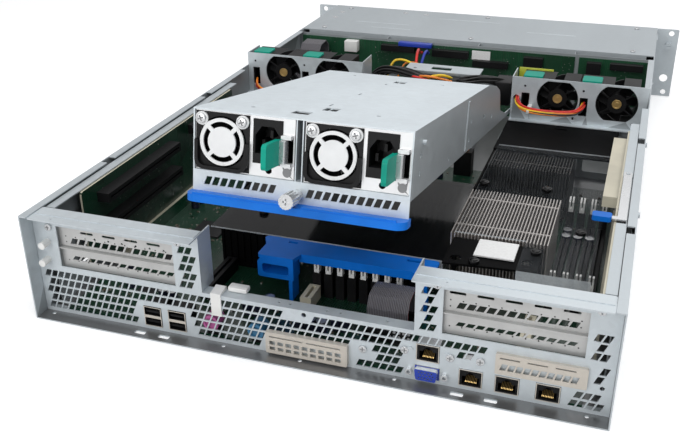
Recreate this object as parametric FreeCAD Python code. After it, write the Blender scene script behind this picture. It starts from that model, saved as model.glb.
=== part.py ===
import FreeCAD, Part

import math
import os

from FreeCAD import Vector

# Two-unit rack server with its top covers off and its power supply cage swung up.
# Everything is laid out with X across (positive to the right seen from the rear), Y measured
# forward from the rear edge and Z up from the underside of the floor.  save() moves the finished
# pieces so that the origin is under the middle of the floor.  Lengths are in millimetres.

# --- chassis ---------------------------------------------------------------------------------
chassis_width = 430.0
chassis_height = 87.6
chassis_depth = 712.0
sheet = 1.0                 # thickness of the folded steel sheet
lip_width = 6.5             # inward lip along the top of each side wall
front_cover_depth = 136.0   # fixed cover over the drive bay
rear_recess = 13.0          # the rear panel stands this far in from the rear edge
bay_floor_z = 41.0          # top of the lower rear panel, foot of the riser bays
seat_gap = 0.2              # between pieces that are only pushed together
run_gap = 0.3               # between pieces that slide past each other

# --- system board ----------------------------------------------------------------------------
standoff_height = 1.4
board_thickness = 1.6

# --- rack ears -------------------------------------------------------------------------------
ear_span = 482.6
ear_thickness = 2.0
rack_hole_span_x = 465.1
rack_hole_span_z = 76.2
rack_hole_r = 3.3

# --- power supply cage, laid out closed and then swung up ---------------------------------------
cage_middle_x = 2.5
cage_width = 150.0
cage_spare = 18.0           # the top plate is longer than a module by this
cage_underside_z = 42.8
cage_tilt_deg = 10.9        # how far the cage is swung up
hinge_from_front = 215.0
hinge_z = 39.5
hinge_pin_r = 3.0
hinge_clearance = 0.05
apron_height = 14.5         # slotted strip under the rear of the cage
handle_thickness = 5.0
handle_reach = 13.0

# --- power supply modules ----------------------------------------------------------------------
psu_width = 70.4
psu_pitch = 77.4
psu_height = 39.6
psu_length = 250.0
psu_fan_x = -15.5           # from the middle of the module
psu_fan_frame = 38.0
psu_fan_bore_r = 17.0
inlet_x = 16.5

# --- system fans -------------------------------------------------------------------------------
fan_wall_from_front = 307.0 # rear face of the two perforated fan walls
fan_wall_low_z = 57.0
fan_wall_top_z = 102.0
fan_wall_inner_x = 79.6
fan_pitch = 58.0
fan_depth = 28.0
fan_width = 54.0
fan_axis_z = 82.5
fan_opening_r = 20.5
fan_opening_half_height = 17.5
fan_rotor_r = 19.0
fan_hub_r = 9.5

# --- drives ------------------------------------------------------------------------------------
carrier_columns = 3
carrier_length = 130.0

# --- riser bays and boards -----------------------------------------------------------------------
left_bay_inner_x = -76.0
right_bay_inner_x = 82.0
riser_board_x = 199.0       # inner face of the riser boards, left and right of the middle
riser_board_height = 72.2
rail_width = 7.5

# --- derived -----------------------------------------------------------------------------------
half_width = chassis_width / 2
inside_x = half_width - sheet
top_z = chassis_height
board_z = sheet + standoff_height
board_top_z = board_z + board_thickness
panel_y = rear_recess
panel_front_y = panel_y + sheet
cover_y = chassis_depth - front_cover_depth
fan_wall_y = chassis_depth - fan_wall_from_front
hinge_y = chassis_depth - hinge_from_front
cage_length = psu_length + cage_spare
cage_left_x = cage_middle_x - cage_width / 2
cage_right_x = cage_middle_x + cage_width / 2
cage_top_z = top_z - seat_gap
rail_outer_x = half_width - lip_width - 0.5
rail_inner_x = rail_outer_x - rail_width
strip_z = top_z - 3 * sheet
rail_rear_y = 24.0
rail_front_y = fan_wall_y - 60.0
lever_y = 131.0
lever_pin_x = (rail_inner_x + rail_outer_x) / 2
lever_pin_y = 219.0
lever_pin_r = 1.6
lever_grip_x = 192.0


# ================================ drawing helpers ================================================

def box(x0, x1, y0, y1, z0, z1):
    return Part.makeBox(x1 - x0, y1 - y0, z1 - z0, Vector(x0, y0, z0))


def rod(x, y, z, direction, radius, length):
    return Part.makeCylinder(radius, length, Vector(x, y, z), Vector(*direction))


def tube(x, y, z, direction, outer_r, inner_r, length):
    return rod(x, y, z, direction, outer_r, length).cut(rod(x, y, z, direction, inner_r, length))


def place(plane, offset, a, b):
    """A point of a drawing plane: 'x' holds (y, z), 'y' holds (x, z) and 'z' holds (x, y)."""
    if plane == "x":
        return Vector(offset, a, b)
    if plane == "y":
        return Vector(a, offset, b)
    return Vector(a, b, offset)


def normal(plane):
    return {"x": Vector(1, 0, 0), "y": Vector(0, 1, 0), "z": Vector(0, 0, 1)}[plane]


def corner_points(points, radii):
    """Edges of a closed outline whose corners are rounded by the given radii."""
    count = len(points)
    pieces = []
    for i in range(count):
        before, here, after = points[i - 1], points[i], points[(i + 1) % count]
        into = (here - before).normalize()
        out = (after - here).normalize()
        turn = into.getAngle(out)
        radius = radii[i]
        if radius <= 0 or turn < 1e-6:
            pieces.append((here, None, here))
            continue
        back = radius * math.tan(turn / 2)
        start = here - into * back
        end = here + out * back
        bisector = (out - into).normalize()
        centre = here + bisector * (radius / math.cos(turn / 2))
        middle = centre - bisector * radius
        pieces.append((start, middle, end))
    edges = []
    for i in range(count):
        start, middle, end = pieces[i]
        if middle is not None:
            edges.append(Part.Arc(start, middle, end).toShape())
        following = pieces[(i + 1) % count][0]
        if (following - end).Length > 1e-6:
            edges.append(Part.LineSegment(end, following).toShape())
    return edges


def outline(plane, offset, shape):
    """Closed wire of a shape: a list of (a, b) or (a, b, corner radius), a circle, or a circle
    that is cut flat above and below."""
    if shape[0] == "circle":
        centre = place(plane, offset, shape[1], shape[2])
        return Part.Wire(Part.Circle(centre, normal(plane), shape[3]).toShape())
    if shape[0] == "flats":
        return flats_wire(plane, offset, *shape[1:])
    points = [place(plane, offset, p[0], p[1]) for p in shape]
    radii = [p[2] if len(p) > 2 else 0.0 for p in shape]
    return Part.Wire(corner_points(points, radii))


def flats_wire(plane, offset, a, b, r, half_height):
    half_width = math.sqrt(r * r - half_height * half_height)
    corner = {(i, j): place(plane, offset, a + i * half_width, b + j * half_height)
              for i in (-1, 1) for j in (-1, 1)}
    right = Part.Arc(corner[1, -1], place(plane, offset, a + r, b), corner[1, 1]).toShape()
    left = Part.Arc(corner[-1, 1], place(plane, offset, a - r, b), corner[-1, -1]).toShape()
    top = Part.LineSegment(corner[1, 1], corner[-1, 1]).toShape()
    bottom = Part.LineSegment(corner[-1, -1], corner[1, -1]).toShape()
    return Part.Wire([right, top, left, bottom])


def plate(plane, offset, thickness, edge, holes=()):
    """Flat plate drawn on a plane at offset and extruded along the plane's positive normal."""
    wires = [outline(plane, offset, edge)]
    wires += [outline(plane, offset, hole) for hole in holes]
    face = Part.makeFace(wires, "Part::FaceMakerBullseye")
    return face.extrude(normal(plane) * thickness)


def rect(a0, a1, b0, b1, r=0.0):
    return [(a0, b0, r), (a1, b0, r), (a1, b1, r), (a0, b1, r)]


def circle(a, b, r):
    return ("circle", a, b, r)


def slanted(a0, a1, b0, b1, lean):
    """Parallelogram whose top edge is shifted by lean."""
    return [(a0, b0), (a1, b0), (a1 + lean, b1), (a0 + lean, b1)]


def fuse(*shapes):
    solid = shapes[0].multiFuse(list(shapes[1:])) if len(shapes) > 1 else shapes[0]
    return solid.removeSplitter()


def mirrored(shape):
    return shape.mirror(Vector(0, 0, 0), Vector(1, 0, 0))


def moved(shape, x=0.0, y=0.0, z=0.0):
    copy = shape.copy()
    copy.translate(Vector(x, y, z))
    return copy


def swung_up(shape):
    """Turns a piece of the closed cage about the hinge into the raised position."""
    copy = shape.copy()
    copy.rotate(Vector(0, hinge_y, hinge_z), Vector(-1, 0, 0), cage_tilt_deg)
    return copy


def save(name, *shapes):
    solids = [solid for shape in shapes for solid in shape.Solids]
    shape = solids[0] if len(solids) == 1 else Part.makeCompound(solids)
    moved(shape, y=-chassis_depth / 2).exportStep("parts/" + name + ".step")


# ================================ perforation ===================================================

mesh_pitch = 5.6
mesh_bar = 1.1
mesh_lean = 0.42            # sideways per unit of height
mesh_hole_height = 5.8
mesh_row_pitch = 7.05


def mesh_row(a0, a1, b0):
    """One row of the grid between a0 and a1; its slanted bars run on into the rows beside it."""
    reach = mesh_lean * mesh_hole_height
    phase = mesh_lean * b0
    first = math.ceil((a0 - phase) / mesh_pitch)
    last = math.floor((a1 - reach - phase + mesh_bar) / mesh_pitch)
    return [slanted(i * mesh_pitch + phase, (i + 1) * mesh_pitch - mesh_bar + phase,
                    b0, b0 + mesh_hole_height, reach) for i in range(first, last)]


def slot_row(a0, a1, b0, b1, pitch, bar, lean):
    """A row of slanted slots that fills a0..a1, lean included."""
    count = int((a1 - a0 - lean + bar + 1e-6) // pitch)
    return [slanted(a0 + i * pitch, a0 + (i + 1) * pitch - bar, b0, b1, lean)
            for i in range(count)]


# ================================ chassis ========================================================

lip_segments = [(0.0, 109.0), (121.0, 289.0), (303.0, fan_wall_y - 19.0),
                (fan_wall_y + 47.0, cover_y - 16.0)]
wall_stud_y = [236.0, fan_wall_y - 1.0, chassis_depth - 102.0]
wall_stud_z = 44.0
wall_stud_r = 2.5
wall_stud_length = 3.2


def side_wall():
    """Right wall: stepped down by one sheet where the front cover lies on it."""
    edge = [(0, 0), (chassis_depth, 0), (chassis_depth, top_z - sheet), (cover_y, top_z - sheet),
            (cover_y, top_z), (0, top_z)]
    holes = [circle(y, 66.0, 2.5) for y in (40.0, 190.0, 320.0)]
    holes += [rect(y, y + 22.0, 12.0, 17.0, 2.4) for y in (60.0, 250.0, 480.0)]
    wall = plate("x", inside_x, sheet, edge, holes)
    lips = [box(half_width - lip_width, half_width, y0, min(y1, cover_y), top_z - sheet, top_z)
            for y0, y1 in lip_segments]
    studs = [rod(inside_x, y, wall_stud_z, (1, 0, 0), wall_stud_r, sheet + wall_stud_length)
             for y in wall_stud_y]
    return fuse(wall, *lips, *studs)


board_rear_y = 16.0
board_front_y = fan_wall_y - 23.0
board_half_width = 196.0
standoff_r = 3.0


def standoff_places():
    return [(x, y) for x in (-180.0, -60.0, 60.0, 180.0) 
            for y in (40.0, 190.0, board_front_y - 42.0)]


def chassis_tray():
    floor_edge = rect(-half_width, half_width, 0, chassis_depth)
    notches = [rect(x, x + 9.0, 4.0, 8.0, 1.0) for x in (-132.0, -112.0, 110.0, 133.0)]
    notches += [circle(x, 9.0, 1.5) for x in (-205.0, -60.0, 0.0, 70.0, 200.0)]
    floor = plate("z", 0, sheet, floor_edge, notches)
    standoffs = [rod(x, y, 0, (0, 0, 1), standoff_r, board_z) for x, y in standoff_places()]
    right = side_wall()
    return fuse(floor, right, mirrored(right), *standoffs)


def cover_rails():
    """Inner angle along each wall: a web on the floor and a light strip just under the lips."""
    runs = {1: [(rail_rear_y, 128.0), (lever_pin_y - 3.0, rail_front_y)],
            -1: [(rail_rear_y, rail_front_y)]}
    rails = []
    for side, segments in runs.items():
        web = box(rail_outer_x - sheet, rail_outer_x, rail_rear_y, rail_front_y, sheet, strip_z)
        strips = [box(rail_inner_x, rail_outer_x, y0, y1, strip_z, strip_z + sheet)
                  for y0, y1 in segments]
        windows = [box(rail_outer_x - sheet, rail_outer_x, y, y + 40.0, 20.0, 68.0)
                   for y in (50.0, 120.0, rail_front_y - 110.0)]
        rail = fuse(web, *strips).cut(Part.makeCompound(windows))
        if side > 0:
            pin = rod(lever_pin_x, lever_pin_y, strip_z, (0, 0, 1), lever_pin_r, 3 * sheet)
            rail = fuse(rail, pin)
        rails.append(rail if side > 0 else mirrored(rail))
    return rails


# ================================ rear panel ======================================================

usb_x = [-119.0, -98.75]
usb_width = 14.4
usb_height = 16.6
lan_x = [122.0, 146.5, 173.5]
jack_width = 16.0
jack_height = 13.4
jack_z = board_top_z
management_x = 92.0
management_z = 18.0
video_x = 92.0
video_width = 17.0
video_height = 9.5
video_z = board_top_z + 0.2
port_clearance = 0.25
panel_half_width = inside_x - seat_gap
screw_hole_r = 1.8
panel_screw_x = cage_middle_x
panel_screw_z = 37.4

# Stretches of the lower panel that each row of the grid fills, from the lowest row up.
panel_mesh_low_z = 3.7
panel_mesh = [
    [(-213.0, -130.5), (-88.0, -27.5), (37.5, 77.5), (184.0, 213.0)],
    [(-213.0, -130.5), (-88.0, -27.5), (50.0, 77.5), (184.0, 213.0)],
    [(-213.0, -130.5), (-88.0, 37.0), (50.0, 78.0)],
    [(-213.0, 77.0), (109.5, 125.0), (199.0, 213.0)],
    [(-213.0, -9.5), (7.5, 137.0), (199.0, 213.0)],
]


def port_cutouts():
    cuts = []
    for x in usb_x:
        cuts.append((x, usb_width, board_top_z, usb_height))
    for x in lan_x:
        cuts.append((x, jack_width, jack_z, jack_height))
    cuts.append((management_x, jack_width, management_z, jack_height))
    cuts.append((video_x, video_width, video_z, video_height))
    c = port_clearance
    return [rect(x - w / 2 - c, x + w / 2 + c, z - c, z + h + c) for x, w, z, h in cuts]


def rear_panel():
    edge = rect(-panel_half_width, panel_half_width, sheet, bay_floor_z)
    holes = port_cutouts()
    for row, stretches in enumerate(panel_mesh):
        for a0, a1 in stretches:
            holes += mesh_row(a0, a1, panel_mesh_low_z + mesh_row_pitch * row)
    holes += [circle(panel_screw_x, panel_screw_z, screw_hole_r), circle(46.0, 18.8, 1.8),
              circle(207.0, 22.0, 1.6)]
    panel = plate("y", panel_y, sheet, edge, holes)
    ledge = plate("z", bay_floor_z - sheet, sheet,
                  rect(left_bay_inner_x, right_bay_inner_x, panel_y, panel_front_y + 9.0),
                  [circle(x, panel_front_y + 4.5, 1.1) for x in (-18.0, -9.5, 18.0, 28.0, 62.0)])
    foot = box(-panel_half_width, panel_half_width, panel_y, panel_y + 8.0 - sheet, sheet,
               sheet + 0.8)
    rivets = [rod(x, panel_y, z, (0, -1, 0), r, 0.9)
              for x, z, r in ((127.0, 24.5, 2.0), (79.5, 25.5, 2.4), (105.5, 25.5, 2.4))]
    return fuse(panel, ledge, foot, *rivets)


bay_window_low_z = 42.5
bay_window_top_z = 76.5


def bay(inner_x, window, mesh_columns, holes):
    """Riser bay panel between a side wall and a side plate at inner_x, standing on the panel."""
    side = 1 if inner_x > 0 else -1
    outer_x = side * panel_half_width
    low, high = min(inner_x, outer_x), max(inner_x, outer_x)
    cuts = [rect(window[0], window[1], bay_window_low_z, bay_window_top_z)]
    for x0, x1, rows in mesh_columns:
        for row in range(rows):
            cuts += mesh_row(x0, x1, bay_window_low_z + mesh_row_pitch * row)
    cuts += [circle(x, z, 1.8) for x, z in holes]
    front = plate("y", panel_y, sheet, rect(low, high, bay_floor_z, top_z - 2 * sheet), cuts)
    hem_z = top_z - 2 * sheet
    hem_outer = side * (half_width - lip_width - seat_gap)
    hem_low, hem_high = min(inner_x, hem_outer), max(inner_x, hem_outer)
    hem = plate("z", hem_z, sheet, rect(hem_low, hem_high, 0.5, 21.0, 1.0),
                [circle(low + 0.17 * (high - low), 5.0, 1.0)])
    seam = box(hem_low + 1.0, hem_high - 1.0, 9.4, 20.5, hem_z + sheet, hem_z + sheet + 0.5)
    cheek = box(min(inner_x, inner_x + side * sheet), max(inner_x, inner_x + side * sheet),
                panel_y, 32.0, bay_floor_z, hem_z + sheet)
    return fuse(front, hem, seam, cheek)


def left_riser_bay():
    return bay(left_bay_inner_x, (-194.0, -97.0), [(-95.5, -78.0, 5)],
               [(-200.0, 75.0), (-92.0, 80.5), (-203.0, 62.0), (-205.0, 47.0)])


def right_riser_bay():
    return bay(right_bay_inner_x, (101.0, 194.0), [(83.5, 99.5, 5), (197.0, 212.5, 3)],
               [(97.0, 80.5), (200.5, 79.5)])


def slot_cover(x0, x1, z0, z1, slot_low, slot_high, holes=()):
    """Folded blank for one expansion slot: a perforated face with a fold along its top."""
    y = panel_front_y + 3.0
    first = x0 + 0.1 * (x1 - x0)
    cuts = slot_row(first, x1 - 3.0, slot_low, slot_high, 6.6, 1.6, 2.4)
    cuts += holes
    face = plate("y", y, 0.8, rect(x0, x1, z0, z1), cuts)
    fold = box(x0, x1, panel_front_y, y + 0.8, z1 - 0.8, z1)
    return fuse(face, fold)


def slot_covers():
    left, right = (-196.0, -95.0), (99.0, 196.0)
    dots = [circle(-164.0 + 11.5 * i, 68.0, 0.9) for i in range(6)]
    left_slits = [rect(-176.0 + 18.6 * i, -165.0 + 18.6 * i, 70.6, 72.6, 0.9) for i in range(4)]
    right_slits = [rect(104.0 + 18.3 * i, 115.0 + 18.3 * i, 71.6, 73.8, 0.9) for i in range(5)]
    return [slot_cover(left[0], left[1], 59.0, 78.0, 61.0, 66.0, dots + left_slits),
            slot_cover(left[0], left[1], bay_floor_z, 58.4, 47.5, 51.0),
            slot_cover(right[0], right[1], 59.0, 78.0, 61.0, 66.0, right_slits),
            slot_cover(right[0], right[1], bay_floor_z, 58.4, 47.5, 51.0)]


def vent_cover(x0, x1, z0, z1, reach, rows):
    """Domed blanking plate that stands out of the panel, with rows of short slots."""
    cuts = []
    for low, high, pitch, bar, lean in rows:
        cuts += slot_row(x0 + 3.0, x1 - 2.0, low, high, pitch, bar, lean)
    face = plate("y", panel_y - reach, 0.9, rect(x0, x1, z0, z1, 1.0), cuts)
    rim = plate("y", panel_y - reach + 0.9, reach - 0.9, rect(x0, x1, z0, z1, 1.0),
                [rect(x0 + 0.9, x1 - 0.9, z0 + 0.9, z1 - 0.9)])
    return fuse(face, rim)


def vent_covers():
    low = vent_cover(-26.0, 35.5, 3.0, 20.4, 4.0,
                     [(5.6, 8.6, 6.2, 1.9, 0.0), (10.2, 13.4, 6.2, 1.9, 0.0),
                      (16.4, 17.4, 28.0, 2.4, 0.0)])
    high = vent_cover(138.0, 197.5, 20.2, 36.2, 2.5,
                      [(23.6, 28.8, 5.1, 1.2, 1.6), (32.4, 33.4, 18.0, 5.0, 0.0)])
    return [low, high]


# ================================ ports ===========================================================

port_rear_y = panel_y - 0.6


def open_shell(x, z, width, height, depth, wall):
    """Thin metal shell of a connector, open to the rear, standing at height z."""
    outer = box(x - width / 2, x + width / 2, port_rear_y, port_rear_y + depth, z, z + height)
    inner = box(x - width / 2 + wall, x + width / 2 - wall, port_rear_y, port_rear_y + depth - 1,
                z + wall, z + height - wall)
    return outer.cut(inner)


def usb_stack(x):
    z = board_top_z
    shell = open_shell(x, z, usb_width, usb_height, 17.0, 0.6)
    middle = box(x - usb_width / 2 + 0.6, x + usb_width / 2 - 0.6, port_rear_y, port_rear_y + 16.0,
                 z + usb_height / 2 - 1.2, z + usb_height / 2 + 1.2)
    return fuse(shell, middle)


def port_shells():
    shells = [usb_stack(x) for x in usb_x]
    shells += [open_shell(x, jack_z, jack_width, jack_height, 18.0, 0.6) for x in lan_x]
    shells.append(open_shell(management_x, management_z, jack_width, jack_height, 18.0, 0.6))
    return shells


def jack_insert(x, z):
    """Black body behind the mouth of a network jack, with its stepped key at the top."""
    w = jack_width - 1.2 - 2 * 0.05
    x0, x1 = x - w / 2, x + w / 2
    z0, z1 = z + 0.65, z + jack_height - 0.65
    mouth = [(x - 5.9, z0 + 1.0), (x + 5.9, z0 + 1.0), (x + 5.9, z0 + 7.4), (x + 3.2, z0 + 7.4),
             (x + 3.2, z0 + 9.0), (x + 1.7, z0 + 9.0), (x + 1.7, z0 + 10.6), (x - 1.7, z0 + 10.6),
             (x - 1.7, z0 + 9.0), (x - 3.2, z0 + 9.0), (x - 3.2, z0 + 7.4), (x - 5.9, z0 + 7.4)]
    frame = plate("y", port_rear_y + 0.3, 11.0, rect(x0, x1, z0, z1), [mouth])
    back = box(x0, x1, port_rear_y + 11.3, port_rear_y + 16.8, z0, z1)
    return fuse(frame, back)


def port_inserts():
    inserts = [jack_insert(x, jack_z) for x in lan_x]
    inserts.append(jack_insert(management_x, management_z))
    pedestal = box(management_x - 7.0, management_x + 7.0, port_rear_y + 4.0, port_rear_y + 17.0,
                   video_z + video_height + 0.4, management_z)
    inserts.append(pedestal)
    for x in usb_x:
        for level in (0.0, 1.0):
            z = board_top_z + 2.4 + level * (usb_height / 2 + 0.2)
            inserts.append(box(x - 5.6, x + 5.6, port_rear_y + 1.0, port_rear_y + 16.0,
                               z + 0.6, z + 2.4))
    return inserts


def video_port():
    """Trapezoid video connector with its rows of pin holes, and a nut each side."""
    x, z, w, h = video_x, video_z, video_width, video_height
    edge = [(x - w / 2 + 1.6, z + 0.4, 1.2), (x + w / 2 - 1.6, z + 0.4, 1.2),
            (x + w / 2 - 0.4, z + h - 0.4, 1.2), (x - w / 2 + 0.4, z + h - 0.4, 1.2)]
    pins = []
    for row in range(3):
        offset = 1.1 if row == 1 else 0.0
        pins += [rect(x - 5.2 + offset + 2.2 * i, x - 4.2 + offset + 2.2 * i,
                      z + 2.0 + 2.3 * row, z + 3.0 + 2.3 * row) for i in range(5)]
    face = plate("y", panel_y - 4.5, 4.0, edge, pins)
    body = box(x - w / 2, x + w / 2, panel_y - 0.5, panel_y + 9.0, z, z + h)
    nuts = [hexagon_nut(x + side * 12.5, z + 4.4) for side in (-1, 1)]
    foot = box(x - w / 2, x + w / 2, panel_y + 1.6, panel_y + 9.0, board_top_z, z)
    return [fuse(face, body, foot), *nuts]


def hexagon_nut(x, z):
    points = [(x + 2.6 * math.cos(math.radians(60 * i)), z + 2.6 * math.sin(math.radians(60 * i)))
              for i in range(6)]
    return plate("y", panel_y - 3.0, 3.0, points, [circle(x, z, 1.3)])


mouse_port_z = 15.0


def mouse_ports():
    """Round keyboard and mouse jacks behind the mesh."""
    jacks = []
    for x in (-72.0, -36.0):
        y = panel_front_y + 1.0
        barrel = rod(x, y, mouse_port_z, (0, 1, 0), 6.3, 11.0)
        foot = box(x - 4.5, x + 4.5, y + 2.0, y + 11.0, board_top_z, mouse_port_z)
        ring = tube(x, y, mouse_port_z, (0, -1, 0), 6.3, 4.4, 0.8)
        jacks.append(fuse(barrel, foot, ring))
    return jacks


# ================================ system board and what stands on it ===========================

memory_first_x = -17.5
memory_pitch = 9.6
memory_count = 8
memory_rear_y = 92.0
memory_length = 142.0
side_memory_first_x = 160.0
side_memory_rear_y = 128.0
memory_tower_z = 25.5
memory_latch_top_z = 37.9


def system_board():
    edge = [(-board_half_width, board_rear_y), (board_half_width, board_rear_y),
            (board_half_width, board_front_y - 12.0), (70.0, board_front_y - 12.0),
            (70.0, board_front_y), (-board_half_width, board_front_y)]
    holes = [circle(x, y, 1.6) for x, y in standoff_places()]
    return plate("z", board_z, board_thickness, edge, holes)


def memory_socket(x, y):
    """Long socket with a slit for the module and a latch tower at each end."""
    width = 7.0
    z = board_top_z
    body = box(x - width / 2, x + width / 2, y + 6.0, y + memory_length - 6.0, z, z + 9.0)
    slit = box(x - 0.8, x + 0.8, y + 8.0, y + memory_length - 8.0, z + 3.0, z + 9.0)
    towers = [box(x - width / 2, x + width / 2, a, a + 6.0, z, memory_tower_z)
              for a in (y, y + memory_length - 6.0)]
    return fuse(body, *towers).cut(slit)


def memory_latch(x, y, towards):
    """Forked latch that stands up out of a socket tower and leans outwards at its thumb tab."""
    z, top = memory_tower_z, memory_latch_top_z
    profile = [(y, z), (y + 5.0, z), (y + 5.0, top - 3.0), (y + 2.5, top), (y - 1.0, top),
               (y, top - 4.0)]
    if towards > 0:
        profile = [(2 * y + 6.0 - a, b) for a, b in profile]
    slot = box(x - 0.7, x + 0.7, y - 2.0, y + 8.0, z + 3.0, top)
    return plate("x", x - 2.1, 4.2, profile).cut(slot)


def memory_places():
    centre = [(memory_first_x + memory_pitch * i, memory_rear_y) for i in range(memory_count)]
    side = [(side_memory_first_x + memory_pitch * i, side_memory_rear_y) for i in range(4)]
    return centre + side


def memory_sockets():
    return [memory_socket(x, y) for x, y in memory_places()]


def memory_latches():
    latches = []
    for x, y in memory_places():
        latches.append(memory_latch(x, y, -1))
        latches.append(memory_latch(x, y + memory_length - 6.0, 1))
    return latches


sink_left_x = 80.7
sink_width = 74.0
sink_top_z = 60.0
duct_top_z = 56.5
duct_wall = 1.6
near_sink_y = 126.0
near_sink_length = 85.0
far_sink_y = fan_wall_y - 125.0
far_sink_length = 72.0
fin_thickness = 0.8
fin_count = 29


def heat_sink(y0, length, top):
    """Finned block on a processor socket, with two hold-down wires across the fins."""
    x0, x1 = sink_left_x, sink_left_x + sink_width
    socket = box(x0 + 12.0, x1 - 12.0, y0 + 14.0, y0 + length - 14.0, board_top_z,
                 board_top_z + 6.0)
    base = box(x0, x1, y0, y0 + length, board_top_z + 6.0, board_top_z + 14.0)
    pitch = (sink_width - fin_thickness) / (fin_count - 1)
    fins = [box(x0 + i * pitch, x0 + i * pitch + fin_thickness, y0, y0 + length,
                board_top_z + 14.0, top) for i in range(fin_count)]
    wires = [box(x0, x1, y0 + a, y0 + a + 1.2, top - 1.2, top)
             for a in (0.2 * length, 0.8 * length)]
    return fuse(socket, base, *fins, *wires)


def heat_sinks():
    return [heat_sink(near_sink_y, near_sink_length, sink_top_z),
            heat_sink(far_sink_y, far_sink_length, duct_top_z - duct_wall - run_gap)]


duct_low_top_z = 40.6
duct_inner_x = sink_left_x - run_gap - duct_wall
hood_rear_y = fan_wall_y - 86.0
window_thickness = 1.2


def air_duct():
    """Black moulded duct: a hood in front of the fans, walls, and the frame before the sink."""
    wall = duct_wall
    x0, x1 = duct_inner_x, 190.0
    far_y = fan_wall_y - 1.0
    hood = box(x0, x1, hood_rear_y, far_y, duct_top_z - wall, duct_top_z)
    side = box(x1 - wall, x1, hood_rear_y, far_y, board_top_z, duct_top_z - wall)
    inner = box(x0, x0 + wall, hood_rear_y - 95.0, far_y, board_top_z, duct_top_z - wall)
    slot = box(x1 - 62.0, x1 - 50.0, far_y - 16.0, far_y - 14.0, duct_top_z - wall, duct_top_z)
    hood_piece = fuse(hood, side, inner).cut(slot)
    shelf = plate("z", sink_top_z - 4.0, wall,
                  [(84.0, 82.0), (152.0, 88.0), (152.0, 124.0), (84.0, 124.0)],
                  [circle(92.0, 92.0, 4.0), circle(143.0, 100.0, 4.0)])
    legs = [box(x, x + 3.0, 118.0, 122.0, board_top_z, sink_top_z - 4.0) for x in (84.0, 149.0)]
    ribbed = box(-112.0, -64.0, 118.0, 176.0, board_top_z, duct_low_top_z)
    grooves = [box(-110.0 + 6.0 * i, -108.6 + 6.0 * i, 118.0, 119.5, board_top_z + 4.0,
                   duct_low_top_z) for i in range(8)]
    for groove in grooves:
        ribbed = ribbed.cut(groove)
    return [hood_piece, fuse(shelf, *legs), ribbed]


def duct_window():
    """Clear covers over the middle and over the sink, each folded down at its rear edge."""
    x1 = duct_inner_x - run_gap
    low = box(-118.0, x1, 112.0, 262.0, duct_low_top_z, duct_low_top_z + window_thickness)
    rear_fold = box(-64.0, x1, 112.0, 112.0 + window_thickness, 30.0, duct_low_top_z)
    over_sink = plate("z", sink_top_z + seat_gap, window_thickness,
                      [(84.0, near_sink_y + 1.0), (138.0, near_sink_y + 1.0), (138.0, 79.0),
                       (190.0, 79.0), (190.0, hood_rear_y - 1.0), (84.0, hood_rear_y - 1.0)])
    hem = box(138.0, 190.0, 79.0, 79.0 + window_thickness, sink_top_z - 8.0,
              sink_top_z + seat_gap)
    return [fuse(low, rear_fold), fuse(over_sink, hem)]


guide_x0 = -60.0
guide_x1 = 77.0
guide_top_z = 41.3


def blue_guide():
    """Blue moulded air guide behind the memory: a shelf, a back wall, ribs and a stepped end."""
    shelf = plate("z", guide_top_z - 3.0, 3.0,
                  [(guide_x0 - 2.0, 79.0, 3.0), (guide_x0 + 28.0, 79.0), (guide_x0 + 31.0, 89.0),
                   (60.0, 89.0), (67.0, 84.0), (guide_x1, 84.0, 4.0), (guide_x1, 111.0, 4.0),
                   (guide_x0 - 9.0, 111.0, 3.0), (guide_x0 - 2.0, 98.0)],
                  [rect(-46.0, -38.0, 104.0, 107.0, 1.0), rect(52.0, 66.0, 104.0, 108.0, 1.0)])
    lip = box(guide_x0 + 29.0, guide_x1 - 14.0, 89.0, 90.4, guide_top_z - 7.0, guide_top_z - 3.0)
    end = plate("y", 79.0, 14.0, [(guide_x0 - 2.0, 22.0, 2.0), (guide_x0 + 28.0, 22.0),
                                  (guide_x0 + 28.0, guide_top_z - 3.0),
                                  (guide_x0 - 2.0, guide_top_z - 3.0, 4.0)],
                [rect(guide_x0 + 2.0, guide_x0 + 24.0, 26.0, 34.0, 2.0)])
    leg = plate("x", guide_x0 + 24.0, 3.0, [(79.0, board_top_z), (92.0, board_top_z),
                                           (92.0, guide_top_z - 3.0), (79.0, guide_top_z - 3.0)])
    far_leg = box(guide_x1 - 7.0, guide_x1 - 4.0, 85.6, 91.4, board_top_z, guide_top_z - 3.0)
    return fuse(shelf, lip, end, leg, far_leg)


def board_sockets():
    """Cream sockets on the board: the long one by the guide and two short power ones."""
    z = board_top_z
    sockets = []
    for x, y, w, length, h in ((-18.5, 69.0, 9.0, 22.0, 11.0), (-100.0, 60.0, 9.0, 52.0, 11.0),
                               (150.0, 60.0, 8.0, 40.0, 10.0),
                               (-150.0, board_front_y - 152.0, 8.0, 90.0, 11.0)):
        body = box(x - w / 2, x + w / 2, y, y + length, z, z + h)
        sockets.append(body.cut(box(x - 1.2, x + 1.2, y + 2.0, y + length - 2.0, z + 4.0, z + h)))
    return sockets


# ================================ riser boards ====================================================

riser_board_low_z = 12.0
riser_rear_y = {-1: 56.0, 1: 24.0}
riser_front_y = rail_front_y - 15.0
riser_length = riser_front_y - riser_rear_y[-1]


def riser_boards():
    boards = []
    for side in (-1, 1):
        y0 = riser_rear_y[side]
        x0 = riser_board_x if side > 0 else -riser_board_x - board_thickness
        edge = [(y0, riser_board_low_z + 10.0), (y0 + 30.0, riser_board_low_z),
                (riser_front_y, riser_board_low_z),
                (riser_front_y, riser_board_low_z + riser_board_height, 3.0),
                (y0, riser_board_low_z + riser_board_height, 3.0)]
        holes = [circle(y, 20.0, 1.8) for y in (y0 + 44.0, riser_front_y - 14.0)]
        boards.append(plate("x", x0, board_thickness, edge, holes))
    return boards


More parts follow.
